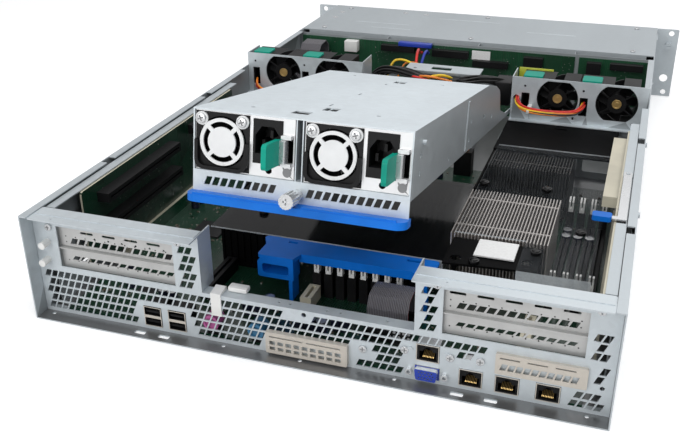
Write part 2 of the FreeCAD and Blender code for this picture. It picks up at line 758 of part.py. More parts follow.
def card_slot(side, y, length, z, height, depth):
    """Slot on the inner face of a riser board, with the slit that takes a card edge."""
    inner = riser_board_x - depth
    body = box(inner, riser_board_x, y, y + length, z, z + height)
    slit = box(inner, inner + depth * 0.6, y + 3.0, y + length - 3.0, z + height / 2 - 0.9,
               z + height / 2 + 0.9)
    slot = body.cut(slit)
    return slot if side > 0 else mirrored(slot)


def left_riser_slots():
    length = 0.438 * riser_length
    return [card_slot(-1, 76.0, length, 68.0, 8.0, 11.0), card_slot(-1, 76.0, length, 44.0, 8.0, 11.0)]


def right_riser_slots():
    right, left = 0.489 * riser_length, 0.336 * riser_length
    return [card_slot(1, riser_front_y - 9.0 - right, right, 70.0, 9.0, 11.5),
            card_slot(-1, riser_front_y - 6.0 - left, left, 70.0, 9.0, 11.5)]


def riser_feet():
    """Edge sockets on the system board's ends that carry the riser boards."""
    feet = []
    for side in (-1, 1):
        foot = box(riser_board_x - 3.0, riser_board_x + board_thickness + 2.4, 110.0,
                   riser_front_y - 30.0, sheet, riser_board_low_z + 4.0)
        notch = box(riser_board_x, riser_board_x + board_thickness, 110.0, riser_front_y - 30.0,
                    riser_board_low_z, riser_board_low_z + 4.0)
        foot = foot.cut(notch)
        feet.append(foot if side > 0 else mirrored(foot))
    return feet


# ================================ retaining lever =================================================

def retaining_lever():
    """Strap that lies in the gap of the rail strip, with an arm across the riser board."""
    z = strip_z + sheet + run_gap
    strap = [(lever_pin_x - 3.4, lever_y), (rail_outer_x - 0.6, lever_y),
             (rail_outer_x - 0.6, lever_pin_y + 3.4, 3.0), (lever_pin_x - 3.4, lever_pin_y + 3.4, 3.0)]
    arm = [(lever_grip_x, lever_y, 1.0), (lever_pin_x, lever_y), (lever_pin_x, lever_y + 5.0),
           (lever_grip_x, lever_y + 5.0, 1.0)]
    hole = circle(lever_pin_x, lever_pin_y, lever_pin_r + hinge_clearance)
    return fuse(plate("z", z, 1.2, strap, [hole]), plate("z", z, 1.2, arm))


def lever_grip():
    z = strip_z + sheet + run_gap
    outer = plate("z", z - 1.4, 4.0, rect(lever_grip_x - 9.0, lever_grip_x + 5.0, lever_y - 2.0,
                                          lever_y + 7.0, 2.5))
    slot = box(lever_grip_x - 0.1, lever_grip_x + 6.0, lever_y - 0.1, lever_y + 5.1, z, z + 1.2)
    return outer.cut(slot)


# ================================ fan walls and fans ================================================

fan_wall_outer_x = inside_x - seat_gap
fan_shelf_z = fan_wall_low_z + sheet
fan_centres = [-172.0, -172.0 + fan_pitch, 126.0, 126.0 + fan_pitch]
fan_left_reach = 36.5       # the wiring side of a fan module is wider than the other
fan_right_reach = 20.5
fan_rear_y = fan_wall_y + sheet + run_gap
fan_top_z = fan_wall_top_z - 0.4
fan_wire_r = 2.0
fan_wire_x = fan_wall_inner_x + 5.4     # where the fan leads pass through the right wall
fan_wire_z = 80.0


def fan_wall(x0, x1, centres, holes):
    """Perforated wall on the floor, and the shelf, cheeks and legs spot-welded to its front."""
    for x in centres:
        holes.append(("flats", x, fan_axis_z, fan_opening_r, fan_opening_half_height))
        holes.append(rect(x - 36.0, x - 28.0, 67.0, 86.0))
        holes.append(circle(x - 33.0, 93.0, 1.2))
        holes.append(rect(x + 16.0, x + 18.0, fan_wall_low_z + 5.0, fan_wall_low_z + 8.0))
        holes.append(rect(x - 26.0, x + 26.0, 8.0, 50.0, 2.0))
    wall = plate("y", fan_wall_y, sheet, rect(x0, x1, sheet, fan_wall_top_z), holes)
    y0, y1 = fan_wall_y + sheet, fan_rear_y + fan_depth + 2.0
    flange = box(x0, x1, fan_wall_y - 7.0, fan_wall_y, fan_wall_low_z, fan_shelf_z)
    shelf = box(x0, x1, y0, y1, fan_wall_low_z, fan_shelf_z)
    cheeks = [box(x, x + sheet, y0, y1, fan_shelf_z, fan_wall_top_z) for x in (x0, x1 - sheet)]
    legs = [box(x, x + sheet, y0, fan_wall_y + 26.0, sheet, fan_wall_low_z)
            for x in (x0, x1 - sheet)]
    return [wall, flange, shelf, *cheeks, *legs]


def fan_walls():
    wire_hole = circle(fan_wire_x, fan_wire_z, fan_wire_r + 1.2)
    return [*fan_wall(-fan_wall_outer_x, -fan_wall_inner_x, fan_centres[:2], []),
            *fan_wall(fan_wall_inner_x, fan_wall_outer_x, fan_centres[2:], [wire_hole])]


def fan_housing(x):
    """Moulded fan frame with a round duct, four struts to the motor seat and a lifting tab."""
    y, z = fan_rear_y, fan_axis_z
    low_z = fan_shelf_z + seat_gap
    frame = box(x - fan_left_reach, x + fan_right_reach, y, y + fan_depth, low_z, fan_top_z)
    frame = frame.cut(rod(x, y, z, (0, 1, 0), fan_rotor_r + 0.6, fan_depth))
    bay = box(x - fan_left_reach + 2.0, x - fan_rotor_r - 3.0, y, y + fan_depth - 2.0,
              low_z + 2.0, fan_top_z - 2.0)
    struts = []
    for angle in (35.0, 145.0, 215.0, 325.0):
        strut = box(fan_hub_r - 1.0, fan_rotor_r + 1.0, 0, 1.6, -0.7, 0.7)
        strut.rotate(Vector(0, 0, 0), Vector(0, 1, 0), angle)
        struts.append(moved(strut, x, y, z))
    seat = tube(x, y, z, (0, 1, 0), fan_hub_r, fan_bearing_r + hinge_clearance, 1.6)
    tab = plate("z", fan_top_z, 1.6, [(x - 35.5, y + 1.0, 1.0), (x - 16.5, y + 1.0, 1.0),
                                      (x - 16.5, y + 19.0, 3.0), (x - 35.5, y + 19.0, 3.0)])
    rib = box(x - fan_left_reach, x - fan_left_reach + 2.0, y + 2.0, y + 18.0, fan_top_z - 4.0,
              fan_top_z)
    return fuse(frame.cut(bay), seat, tab, rib, *struts)


fan_bearing_r = 4.3


def rotor(x, y, z, depth, hub_r, tip_r, shaft_r, shaft_length, blades=7, pitch_deg=38.0):
    """Fan rotor along Y: hub, bearing boss towards the rear and flat pitched blades."""
    hub = rod(x, y, z, (0, 1, 0), hub_r, depth)
    boss = rod(x, y - shaft_length, z, (0, 1, 0), shaft_r, shaft_length)
    ring = tube(0, 0, 0, (0, 1, 0), tip_r, hub_r - 0.5, depth)
    chord = 0.8 * depth / math.cos(math.radians(pitch_deg))
    solids = [hub, boss]
    for i in range(blades):
        blade = box(hub_r - 1.0, tip_r + 1.0, -0.6, 0.6, -chord / 2, chord / 2)
        blade.rotate(Vector(0, 0, 0), Vector(1, 0, 0), 90.0 - pitch_deg)
        blade.translate(Vector(0, depth / 2, 0))
        blade.rotate(Vector(0, 0, 0), Vector(0, 1, 0), 360.0 * i / blades)
        solids.append(moved(blade.common(ring), x, y, z))
    return fuse(*solids)


def fan_rotor(x):
    return rotor(x, fan_rear_y + 2.2, fan_axis_z, fan_depth - 4.0, fan_hub_r - 0.5, fan_rotor_r,
                 fan_bearing_r, 2.2)


# ================================ cage hinge and cage ==================================================

arm_thickness = sheet
ear_r = 7.0


def cage_hinge_brackets():
    """Two floor brackets whose riveted pins carry the cage arms."""
    brackets = []
    for side in (-1, 1):
        arm_inner = cage_middle_x + side * (cage_width / 2 - arm_thickness)
        plate_x = arm_inner - side * (run_gap + 3.0)
        x0 = min(plate_x, plate_x - side * 2.0)
        upright = plate("x", x0, 2.0, [(hinge_y - 16.0, sheet), (hinge_y + 16.0, sheet),
                                       (hinge_y + 7.0, hinge_z + 6.0, 6.0),
                                       (hinge_y - 7.0, hinge_z + 6.0, 6.0)])
        inward = plate_x - side * 16.0
        foot = box(min(plate_x, inward), max(plate_x, inward), hinge_y - 16.0, hinge_y + 16.0,
                   sheet, sheet + 2.0)
        direction = (side, 0, 0)
        boss = rod(plate_x, hinge_y, hinge_z, direction, hinge_pin_r + 2.0, 3.0)
        pin = rod(plate_x, hinge_y, hinge_z, direction, hinge_pin_r,
                  3.0 + 2 * run_gap + arm_thickness)
        head_x = arm_inner + side * (arm_thickness + run_gap)
        head = rod(head_x, hinge_y, hinge_z, direction, hinge_pin_r + 2.0, 1.2)
        brackets.append(fuse(upright, foot, boss, pin, head))
    return brackets


def cage_side(x0):
    """Side plate of the cage: full height over the modules, then an arm to the hinge."""
    edge = [(0, cage_underside_z), (hinge_y - 22.0, cage_underside_z), (hinge_y - 4.0, hinge_z - ear_r, 6.0),
            (hinge_y + ear_r, hinge_z - ear_r, 6.5), (hinge_y + ear_r, hinge_z + ear_r, 6.5),
            (hinge_y - ear_r, hinge_z + ear_r, 6.0), (cage_length + 115.0, cage_underside_z + 4.6, 10.0),
            (cage_length + 78.0, cage_underside_z + 12.0, 8.0),
            (cage_length + 66.0, cage_top_z - 12.0, 14.0), (cage_length + 40.0, cage_top_z - 5.0, 12.0),
            (cage_length, cage_top_z), (0, cage_top_z)]
    holes = [circle(hinge_y, hinge_z, hinge_pin_r + hinge_clearance), circle(20.0, 69.0, 1.6),
             circle(20.0, 57.0, 1.6), circle(112.0, 50.0, 1.6), circle(192.0, 66.0, 1.6),
             circle(188.0, 51.0, 1.6), rect(250.0, 258.0, 60.0, 63.0), circle(296.0, 56.0, 2.0)]
    return plate("x", x0, arm_thickness, edge, holes)


def cage_top():
    holes = [rect(-11.0, 1.0, 17.0, 28.0), rect(2.0, 12.0, 41.0, 54.0), rect(2.0, 12.0, 220.0, 232.0),
             rect(-0.6, 0.6, 62.0, 71.0), rect(-0.6, 0.6, 129.0, 138.0), rect(-0.6, 0.6, 203.0, 209.0)]
    holes += [circle(x, y, 1.5) for x, y in ((-41.0, 25.0), (42.0, 42.0), (42.0, 236.0), (-41.0, 246.0))]
    return plate("z", cage_top_z - sheet, sheet,
                 rect(cage_left_x, cage_right_x, 0, cage_length), holes)


apron_top_z = cage_underside_z + 3.5
apron_low_z = apron_top_z - apron_height
thumbscrew_stem_r = 2.6


def cage_apron():
    """Slotted strip across the rear, under the modules."""
    slots = slot_row(cage_left_x + 8.0, cage_middle_x - 12.0, apron_low_z + 4.6, apron_low_z + 10.4,
                     5.75, 1.6, 2.2)
    slots += slot_row(cage_middle_x + 5.5, cage_right_x - 5.0, apron_low_z + 4.6, apron_low_z + 10.4,
                      5.75, 1.6, 2.2)
    slots.append(circle(cage_middle_x, panel_screw_z, thumbscrew_stem_r + hinge_clearance))
    return plate("y", 0, sheet, rect(cage_left_x, cage_right_x, apron_low_z, apron_top_z), slots)


def psu_cage():
    """Steel cage of the two power supplies, swung up about its hinge."""
    deck_z = apron_top_z - sheet
    deck = box(cage_left_x, cage_right_x, 0, cage_length, deck_z, deck_z + sheet)
    divider = [box(cage_middle_x + a, cage_middle_x + a + 0.8, 0.6, psu_length, deck_z + sheet,
                   cage_top_z - sheet) for a in (-2.6, 1.8)]
    front = plate("y", cage_length - sheet, sheet, rect(cage_left_x, cage_right_x, deck_z, cage_top_z),
                  [rect(cage_middle_x + a - 14.0, cage_middle_x + a + 14.0, 56.0, 74.0, 2.0)
                   for a in (-38.0, 38.0)])
    stud = rod(cage_right_x, 24.0, 77.0, (1, 0, 0), 1.6, 2.4)
    band = box(cage_right_x, cage_right_x + 0.8, 172.0, 178.0, cage_underside_z + 2.0,
               cage_top_z - 3.0)
    shell = fuse(cage_top(), cage_apron(), deck, front, cage_side(cage_left_x),
                 cage_side(cage_right_x - arm_thickness), stud, band, *divider)
    return swung_up(shell)


def cage_handle():
    """Blue grip along the bottom of the apron, with a tongue clipped behind it."""
    low_z = apron_low_z - handle_thickness
    x0, x1 = cage_left_x - 1.0, cage_right_x + 1.0
    edge = [(x0, -handle_reach + 1.0, 8.0), (x1, -handle_reach + 1.0, 8.0), (x1, 3.0, 1.0),
            (x0, 3.0, 1.0)]
    grip = plate("z", low_z, handle_thickness, edge)
    lip = plate("z", apron_low_z, 1.4, [(x0 + 6.0, -handle_reach + 1.6), (x1 - 6.0, -handle_reach + 1.6),
                                        (x1 - 6.0, -handle_reach + 3.2), (x0 + 6.0, -handle_reach + 3.2)])
    lip = lip.cut(box(cage_middle_x - 7.0, cage_middle_x + 7.0, -handle_reach, 0, apron_low_z,
                      apron_low_z + 2.0))
    tongue = box(cage_left_x + 2.0, cage_right_x - 2.0, sheet, 3.0, apron_low_z, apron_low_z + 4.0)
    gap = box(cage_middle_x - 6.0, cage_middle_x + 6.0, sheet, 3.0, apron_low_z, apron_low_z + 4.0)
    return swung_up(fuse(grip, lip, tongue.cut(gap)))


thumbscrew_head_r = 5.2
thumbscrew_reach = 20.0


def cage_thumbscrew():
    """Knurled captive screw with a crossed recess, through the apron."""
    x, z = cage_middle_x, panel_screw_z
    points = []
    teeth = 16
    for i in range(2 * teeth):
        radius = thumbscrew_head_r - (0.45 if i % 2 else 0.0)
        angle = math.pi * i / teeth
        points.append((x + radius * math.cos(angle), z + radius * math.sin(angle)))
    head = plate("y", -thumbscrew_reach, thumbscrew_reach - 8.0, points)
    for a, b in ((2.2, 0.5), (0.5, 2.2)):
        head = head.cut(box(x - a, x + a, -thumbscrew_reach, -thumbscrew_reach + 1.6, z - b, z + b))
    barrel = rod(x, -8.0, z, (0, 1, 0), 4.0, 8.0 - run_gap)
    stem = rod(x, -1.0, z, (0, 1, 0), thumbscrew_stem_r, 2.0 + sheet)
    collar = rod(x, sheet + run_gap, z, (0, 1, 0), thumbscrew_stem_r + 1.0, 1.2)
    tip = rod(x, sheet + run_gap + 1.2, z, (0, 1, 0), 1.5, 9.0)
    return swung_up(fuse(head, barrel, stem, collar, tip))


# ================================ power supply modules ===============================================

psu_low_z = apron_top_z + seat_gap
psu_top_z = psu_low_z + psu_height
psu_face_y = 1.5
psu_fan_z = psu_low_z + psu_height / 2
psu_centres = {"left": cage_middle_x - psu_pitch / 2, "right": cage_middle_x + psu_pitch / 2}
inlet_half_width = 10.2
inlet_low_z = psu_low_z + 8.6
inlet_height = 29.0
latch_pin_r = 1.2
latch_x = 29.6
latch_low_z = psu_low_z + 11.4
latch_height = 15.0
psu_rotor_r = 16.2
guard_ear_r = 4.4


def psu_fan_pocket(m):
    half = psu_fan_frame / 2 + seat_gap
    x = m + psu_fan_x
    return box(x - half, x + half, 0, 26.0, psu_fan_z - half, psu_fan_z + half)


def psu_case(m):
    """Steel case with pockets for its fan and inlet, ears for the latch pin and a finger guard."""
    x0, x1 = m - psu_width / 2, m + psu_width / 2
    body = box(x0, x1, psu_face_y, psu_length - 2.0, psu_low_z, psu_top_z)
    inlet = box(m + inlet_x - inlet_half_width - seat_gap, m + inlet_x + inlet_half_width + seat_gap,
                0, 24.0, inlet_low_z - seat_gap, inlet_low_z + inlet_height + seat_gap)
    slot = box(m + 29.4, m + 34.2, 0, 12.0, psu_low_z + 11.0, psu_low_z + 27.5)
    body = body.cut(psu_fan_pocket(m)).cut(inlet).cut(slot)
    body = body.cut(rod(m + 17.5, 0, psu_low_z + 4.4, (0, 1, 0), 2.3, 8.0))
    body = body.cut(rod(m + 30.5, 0, psu_low_z + 4.4, (0, 1, 0), 3.0, 3.0))
    lamp = rod(m + 30.5, 1.0, psu_low_z + 4.4, (0, 1, 0), 3.0, 3.5)
    ears = [box(m + latch_x - 2.6, m + 34.0, -2.6, psu_face_y, z, z + 2.4)
            for z in (latch_low_z - 2.7, latch_low_z + latch_height + run_gap)]
    bore = rod(m + latch_x, -0.6, latch_low_z - 4.0, (0, 0, 1), latch_pin_r + hinge_clearance,
               latch_height + 8.0)
    case = fuse(body, lamp, *[ear.cut(bore) for ear in ears])
    return swung_up(Part.makeCompound([case, finger_guard(m)]))


def finger_guard(m):
    """White ring guard: outer ring, centre disc, four spokes and two screw ears."""
    x, z = m + psu_fan_x, psu_fan_z
    y, thickness = psu_face_y - 2.0, 1.2
    ring = tube(x, y, z, (0, 1, 0), 15.8, 13.4, thickness)
    disc = rod(x, y, z, (0, 1, 0), 10.0, thickness)
    parts = [ring, disc]
    for angle in (45.0, 135.0, 225.0, 315.0):
        spoke = box(9.0, 14.4, y, y + thickness, -1.4, 1.4)
        spoke.rotate(Vector(0, 0, 0), Vector(0, 1, 0), angle)
        parts.append(moved(spoke, x, 0, z))
    half = psu_fan_frame / 2 - guard_ear_r
    for side in (-1, 1):
        parts.append(rod(x + side * half, y, z + half, (0, 1, 0), guard_ear_r, thickness))
        web = box(-3.0, 3.0, y, y + thickness, 14.4, math.hypot(half, half))
        web.rotate(Vector(0, 0, 0), Vector(0, 1, 0), side * 45.0)
        parts.append(moved(web, x, 0, z))
    return fuse(*parts)


def psu_fittings(m):
    """Black fan frame with a raised rim round its lower half, and the mains inlet."""
    x, z = m + psu_fan_x, psu_fan_z
    half = psu_fan_frame / 2
    y = psu_face_y - 0.8
    frame = box(x - half, x + half, y, 25.0, z - half, z + half)
    frame = frame.cut(rod(x, y, z, (0, 1, 0), psu_fan_bore_r, 25.0))
    bars = []
    for angle in (0.0, 90.0, 180.0, 270.0):
        bar = box(2.5, psu_fan_bore_r + 0.6, 23.0, 25.0, -1.0, 1.0)
        bar.rotate(Vector(0, 0, 0), Vector(0, 1, 0), angle)
        bars.append(moved(bar, x, 0, z))
    seat = tube(x, 23.0, z, (0, 1, 0), 7.0, 2.0 + hinge_clearance, 2.0)
    rim = half - 2.4
    cradle = plate("y", y - 3.0, 3.0, [(x - half, z + 1.0, 1.0), (x - rim, z + 1.0, 1.0),
                                       (x - rim, z - rim, 5.0), (x + rim, z - rim, 5.0),
                                       (x + rim, z + 1.0, 1.0), (x + half, z + 1.0, 1.0),
                                       (x + half, z - half, 6.5), (x - half, z - half, 6.5)])
    frame = fuse(frame, seat, cradle, *bars)
    ix = m + inlet_x
    mouth_z = inlet_low_z + 6.6
    block = box(ix - inlet_half_width, ix + inlet_half_width, y, 23.0, inlet_low_z,
                inlet_low_z + inlet_height)
    mouth = plate("y", y, 17.0, [(ix - 8.6, mouth_z), (ix + 8.6, mouth_z), (ix + 8.6, mouth_z + 12.0),
                                 (ix + 4.2, mouth_z + 18.0), (ix - 4.2, mouth_z + 18.0),
                                 (ix - 8.6, mouth_z + 12.0)])
    pins = [box(ix + a - 1.0, ix + a + 1.0, y + 7.0, 19.0, mouth_z + b, mouth_z + b + 5.0)
            for a, b in ((-5.6, 3.0), (5.6, 3.0), (0.0, 9.5))]
    inlet = fuse(block.cut(mouth), *pins)
    return swung_up(Part.makeCompound([frame, inlet]))


def psu_rotor(m):
    x, z = m + psu_fan_x, psu_fan_z
    wheel = rotor(x, psu_face_y + 1.6, z, 18.0, 8.6, psu_rotor_r, 2.0, 0.4)
    shaft = rod(x, 20.0, z, (0, 1, 0), 2.0, 4.6)
    return swung_up(fuse(wheel, shaft))


def psu_latch(m):
    """Green blade that sticks straight out of the module, on a pin between two ears."""
    blade_x = m + latch_x - 5.6
    blade = plate("x", blade_x, 3.4, [(-27.0, latch_low_z - 1.0, 3.0), (-1.0, latch_low_z - 1.0),
                                      (-1.0, latch_low_z + latch_height + 0.6),
                                      (-27.0, latch_low_z + latch_height + 0.6, 3.0)])
    foot = plate("z", latch_low_z, latch_height,
                 [(blade_x + 1.0, -6.0), (m + latch_x + 1.6, -6.0, 1.0), (m + latch_x + 1.6, psu_face_y - 1.1),
                  (blade_x + 1.0, psu_face_y - 1.1)])
    pin = rod(m + latch_x, -0.6, latch_low_z - 2.4, (0, 0, 1), latch_pin_r, latch_height + 4.8)
    blade = blade.cut(box(blade_x - 1, blade_x + 9, -4.0, 3.0, latch_low_z - 3.0, latch_low_z))
    blade = blade.cut(box(blade_x - 1, blade_x + 9, -4.0, 3.0, latch_low_z + latch_height,
                          latch_low_z + latch_height + 3.0))
    return swung_up(fuse(blade, foot, pin))


# ================================ middle of the chassis: bracket and cables ==============================

bracket_left_x = -45.0
bracket_right_x = 38.0
bracket_y = fan_wall_y + 41.0
bracket_length = 26.0


def centre_bracket():
    """Channel on two legs between the fan walls; the power connectors are fixed to it."""
    x0, x1 = bracket_left_x, bracket_right_x
    y0, y1 = bracket_y, bracket_y + bracket_length
    top = top_z - sheet
    deck = plate("z", top - sheet, sheet, rect(x0, x1, y0, y1, 2.0),
                 [circle(x0 + 10.0, y0 + 8.0, 1.8), rect(x0 + 28.0, x0 + 50.0, y0 + 8.0, y0 + 18.0, 1.0)])
    apron = box(x0 + 2.0, x1 - 2.0, y0, y0 + sheet, top - 24.0, top - sheet)
    legs = [box(x, x + sheet, y0, y1, sheet, top - sheet) for x in (x0 + 2.0, x1 - 3.0)]
    feet = [box(x0 + 3.0, x0 + 15.0, y0, y1, sheet, 2 * sheet),
            box(x1 - 15.0, x1 - 3.0, y0, y1, sheet, 2 * sheet)]
    return fuse(deck, apron, *legs, *feet)


def power_sockets():
    """Black connector blocks that hang on the rear of the centre bracket."""
    y1 = bracket_y
    top = top_z - 2 * sheet
    return [box(-30.0, -4.0, y1 - 16.0, y1, top - 20.0, top - 2.0),
            box(6.0, 34.0, y1 - 16.0, y1, top - 20.0, top - 2.0)]


def cord(points, radius):
    """Tube along straight runs joined by tangent arcs as large as the runs allow."""
    corners = [Vector(*p) for p in points]
    edges = []
    start = corners[0]
    for before, here, after in zip(corners, corners[1:], corners[2:]):
        into = (here - before).normalize()
        out = (after - here).normalize()
        turn = into.getAngle(out)
        back = 0.45 * min((here - before).Length, (after - here).Length)
        arc_radius = back / math.tan(turn / 2)
        print("cord radius %.1f, arc %.1f" % (radius, arc_radius))
        first, last = here - into * back, here + out * back
        bisector = (out - into).normalize()
        centre = here + bisector * (arc_radius / math.cos(turn / 2))
        middle = centre - bisector * arc_radius
        edges.append(Part.LineSegment(start, first).toShape())
        edges.append(Part.Arc(first, middle, last).toShape())
        start = last
    edges.append(Part.LineSegment(start, corners[-1]).toShape())
    path = Part.Wire(edges)
    section = Part.Wire(Part.Circle(corners[0], corners[1] - corners[0], radius).toShape())
    solid = path.makePipeShell([section], True, False)
    expected = math.pi * radius ** 2 * path.Length
    print("cord volume %.4f of section times length" % (solid.Volume / expected))
    return solid


harness_r = 4.8
harness_plug_top_z = 30.0
harness_plug_x = 41.0
harness_plug_y = fan_wall_y - 34.0


def power_harness():
    """Two thick bundles that drop from the bracket's connectors to plugs on the board."""
    return [cord([(side * 17.0, bracket_y - 16.0, 74.5), (side * 17.0, fan_wall_y - 1.0, 74.5),
                  (side * 32.0, fan_wall_y - 23.0, 70.0), (side * harness_plug_x, harness_plug_y, 52.0),
                  (side * harness_plug_x, harness_plug_y, harness_plug_top_z)], harness_r)
            for side in (-1, 1)]


def harness_plugs():
    return [box(x - 9.0, x + 9.0, harness_plug_y - 7.0, harness_plug_y + 7.0, board_top_z,
                harness_plug_top_z) for x in (-harness_plug_x, harness_plug_x)]


def fan_wires():
    """Bundle of fan leads along the right fan wall, from a slot to the hole beside its cheek."""
    w = fan_wall_y
    return cord([(152.0, w + 0.8, 79.0), (152.0, w - 10.4, 78.0), (143.0, w - 20.0, 74.0),
                 (98.0, w - 20.0, 73.5), (fan_wire_x, w - 10.0, fan_wire_z),
                 (fan_wire_x, w + 22.0, fan_wire_z)], fan_wire_r)


def fan_wire_plug():
    """Connector on the shelf of the right fan wall that takes the fan leads."""
    y = fan_wall_y + 22.0
    return box(fan_wire_x - 3.0, fan_wire_x + 3.0, y, y + 8.0, fan_shelf_z, fan_wire_z + 4.0)


# ================================ front ===============================================================

bay_rear_y = cover_y - 14.0
carrier_area_left = -inside_x + 2.0
control_panel_width = 84.0
row_height = (top_z - 2 * sheet - sheet - 3.0) / 2
column_width = (2 * inside_x - 4.0 - control_panel_width) / carrier_columns
carrier_face_y = chassis_depth + 3.0


def front_cover():
    cover = plate("z", top_z - sheet, sheet, rect(-half_width, half_width, cover_y, chassis_depth),
                  [circle(x, y, 1.8) for x in (-190.0, 0.0, 190.0) for y in (cover_y + 12.0, chassis_depth - 14.0)])
    fold = box(-inside_x + 8.0, inside_x - 8.0, cover_y, cover_y + sheet, top_z - sheet - 5.0,
               top_z - sheet)
    return fuse(cover, fold)


def rack_ear():
    """Right ear: an angle on the wall with rack holes, a grip hole and a captive screw."""
    x0, x1 = half_width, ear_span / 2
    middle_z = top_z / 2
    holes = [circle(rack_hole_span_x / 2, middle_z + side * rack_hole_span_z / 2, rack_hole_r)
             for side in (-1, 1)]
    holes.append(circle(rack_hole_span_x / 2 - 2.0, 24.0, 5.0))
    flange = plate("y", chassis_depth - ear_thickness, ear_thickness,
                   rect(x0, x1, 0.4, top_z - 0.4, 1.5), holes)
    leg = plate("x", x0, 1.6, rect(chassis_depth - 36.0, chassis_depth - ear_thickness, 6.0,
                                   top_z - 6.0), [circle(chassis_depth - 22.0, z, 2.0) for z in (20.0, 66.0)])
    screw = rod(rack_hole_span_x / 2 - 1.6, chassis_depth - ear_thickness, 67.0, (0, -1, 0), 4.4, 5.0)
    cross = box(rack_hole_span_x / 2 - 4.4, rack_hole_span_x / 2 + 1.2, chassis_depth - 8.0,
                chassis_depth - 5.6, 66.5, 67.5)
    return fuse(flange, leg, screw.cut(cross))


def rack_ears():
    right = rack_ear()
    return [right, mirrored(right)]


def drive_bay():
    """Folded frame that guides the drive carriers: uprights, a shelf and a rear frame."""
    top = top_z - sheet - 0.2
    uprights = [carrier_area_left - 1.2 + column_width * i for i in range(1, carrier_columns + 1)]
    plates = [box(x, x + sheet, bay_rear_y, chassis_depth - 2.0, sheet, top) for x in uprights]
    plates.append(box(-inside_x + seat_gap, -inside_x + seat_gap + sheet, bay_rear_y,
                      chassis_depth - 2.0, sheet, top))
    shelf_z = sheet + row_height + 1.0
    shelf = box(-inside_x + seat_gap, uprights[-1] + sheet, bay_rear_y, chassis_depth - 2.0, shelf_z,
                shelf_z + sheet)
    windows = []
    for row in range(2):
        for i in range(carrier_columns):
            x = carrier_area_left + column_width * i
            z = sheet + 1.0 + row * (row_height + 1.5)
            windows.append(rect(x + 14.0, x + column_width - 16.0, z + 8.0, z + row_height - 8.0, 2.0))
    rear = plate("y", bay_rear_y, sheet,
                 rect(-inside_x + seat_gap, inside_x - seat_gap, sheet, top), windows)
    fold_room = box(-inside_x, inside_x, cover_y - run_gap, cover_y + sheet + run_gap,
                    top_z - sheet - 5.0 - run_gap, top_z)
    return fuse(rear, shelf, *plates).cut(fold_room)


def carrier_room(column, row):
    """Room for one carrier between the uprights: x0, x1, z0, z1."""
    x0 = carrier_area_left + column_width * column + run_gap
    z0 = sheet + run_gap + row * (row_height + 1.0 + sheet)
    return x0, x0 + column_width - sheet - 2 * run_gap - 0.4, z0, z0 + row_height - 2 * run_gap


def media_panel():
    """Fixed insert in the first column: a slim disc drive above a blank panel."""
    x0, x1, z0, z1 = carrier_room(0, 1)
    y1 = carrier_face_y - 1.0
    face = plate("y", y1 - 4.0, 4.0, rect(x0, x1, z0, z1, 1.0),
                 [rect(x1 - 12.0, x1 - 7.0, z1 - 12.0, z1 - 10.0, 0.5)])
    groove = plate("y", y1 - 0.8, 1.0, rect(x0 + 4.0, x1 - 4.0, z1 - 15.0, z1 - 4.0, 1.0),
                   [rect(x0 + 5.0, x1 - 5.0, z1 - 14.0, z1 - 5.0, 0.6)])
    shell = box(x0 + 1.0, x1 - 1.0, y1 - 126.0, y1 - 4.0, z1 - 17.0, z1 - 3.0)
    cheeks = [box(x, x + 1.5, y1 - 126.0, y1 - 4.0, z0, z1 - 3.0) for x in (x0 + 1.0, x1 - 2.5)]
    return fuse(face.cut(groove), shell, *cheeks)


def drive_carrier(column, row):
    """Tray with its drive, a vented face and a closed pull handle."""
    x0, x1, z0, z1 = carrier_room(column, row)
    y1 = carrier_face_y
    face = plate("y", y1 - 5.0, 5.0, rect(x0, x1, z0, z1, 1.5),
                 [rect(x0 + 8.0 + 7.0 * i, x0 + 12.0 + 7.0 * i, z0 + 5.0, z0 + 12.0, 1.0)
                  for i in range(int((x1 - x0 - 18.0) // 7.0))])
    tray = box(x0 + 1.0, x1 - 1.0, y1 - carrier_length, y1 - 5.0, z0, z0 + 1.5)
    rails = [box(a, a + 1.5, y1 - carrier_length, y1 - 5.0, z0, z0 + 12.0) for a in (x0 + 1.0, x1 - 2.5)]
    drive = box(x0 + 2.5, x1 - 2.5, y1 - carrier_length + 4.0, y1 - 14.0, z0 + 1.5, z0 + 27.0)
    handle = plate("y", y1, 3.0, rect(x0 + 8.0, x1 - 8.0, z1 - 17.0, z1 - 8.0, 2.0))
    return fuse(face, tray, drive, handle, *rails)


panel_left_x = carrier_area_left + column_width * carrier_columns + 0.6
button_x = panel_left_x + 22.0
button_z = 62.0
button_r = 4.5


def control_panel():
    """Front control panel: face with button and lamp holes and sockets, on a shallow box."""
    x0, x1 = panel_left_x, inside_x - seat_gap
    z0, z1 = sheet, top_z - sheet - 0.2
    holes = [circle(button_x, button_z, button_r + 0.15), rect(x0 + 16.0, x0 + 30.0, 16.0, 23.0, 0.5)]
    holes += [circle(button_x + 14.0 + 8.0 * i, button_z, 1.5) for i in range(4)]
    face = plate("y", chassis_depth - 1.0, 4.0, rect(x0, x1, z0, z1, 2.0), holes)
    walls = [box(x0, x0 + 1.5, bay_rear_y + 60.0, chassis_depth - 1.0, z0, z1),
             box(x1 - 1.5, x1, bay_rear_y + 60.0, chassis_depth - 1.0, z0, z1),
             box(x0, x1, chassis_depth - 10.0, chassis_depth - 8.5, z0, z1)]
    return fuse(face, *walls)


def power_button():
    cap = rod(button_x, chassis_depth - 6.0, button_z, (0, 1, 0), button_r, 10.0)
    return cap


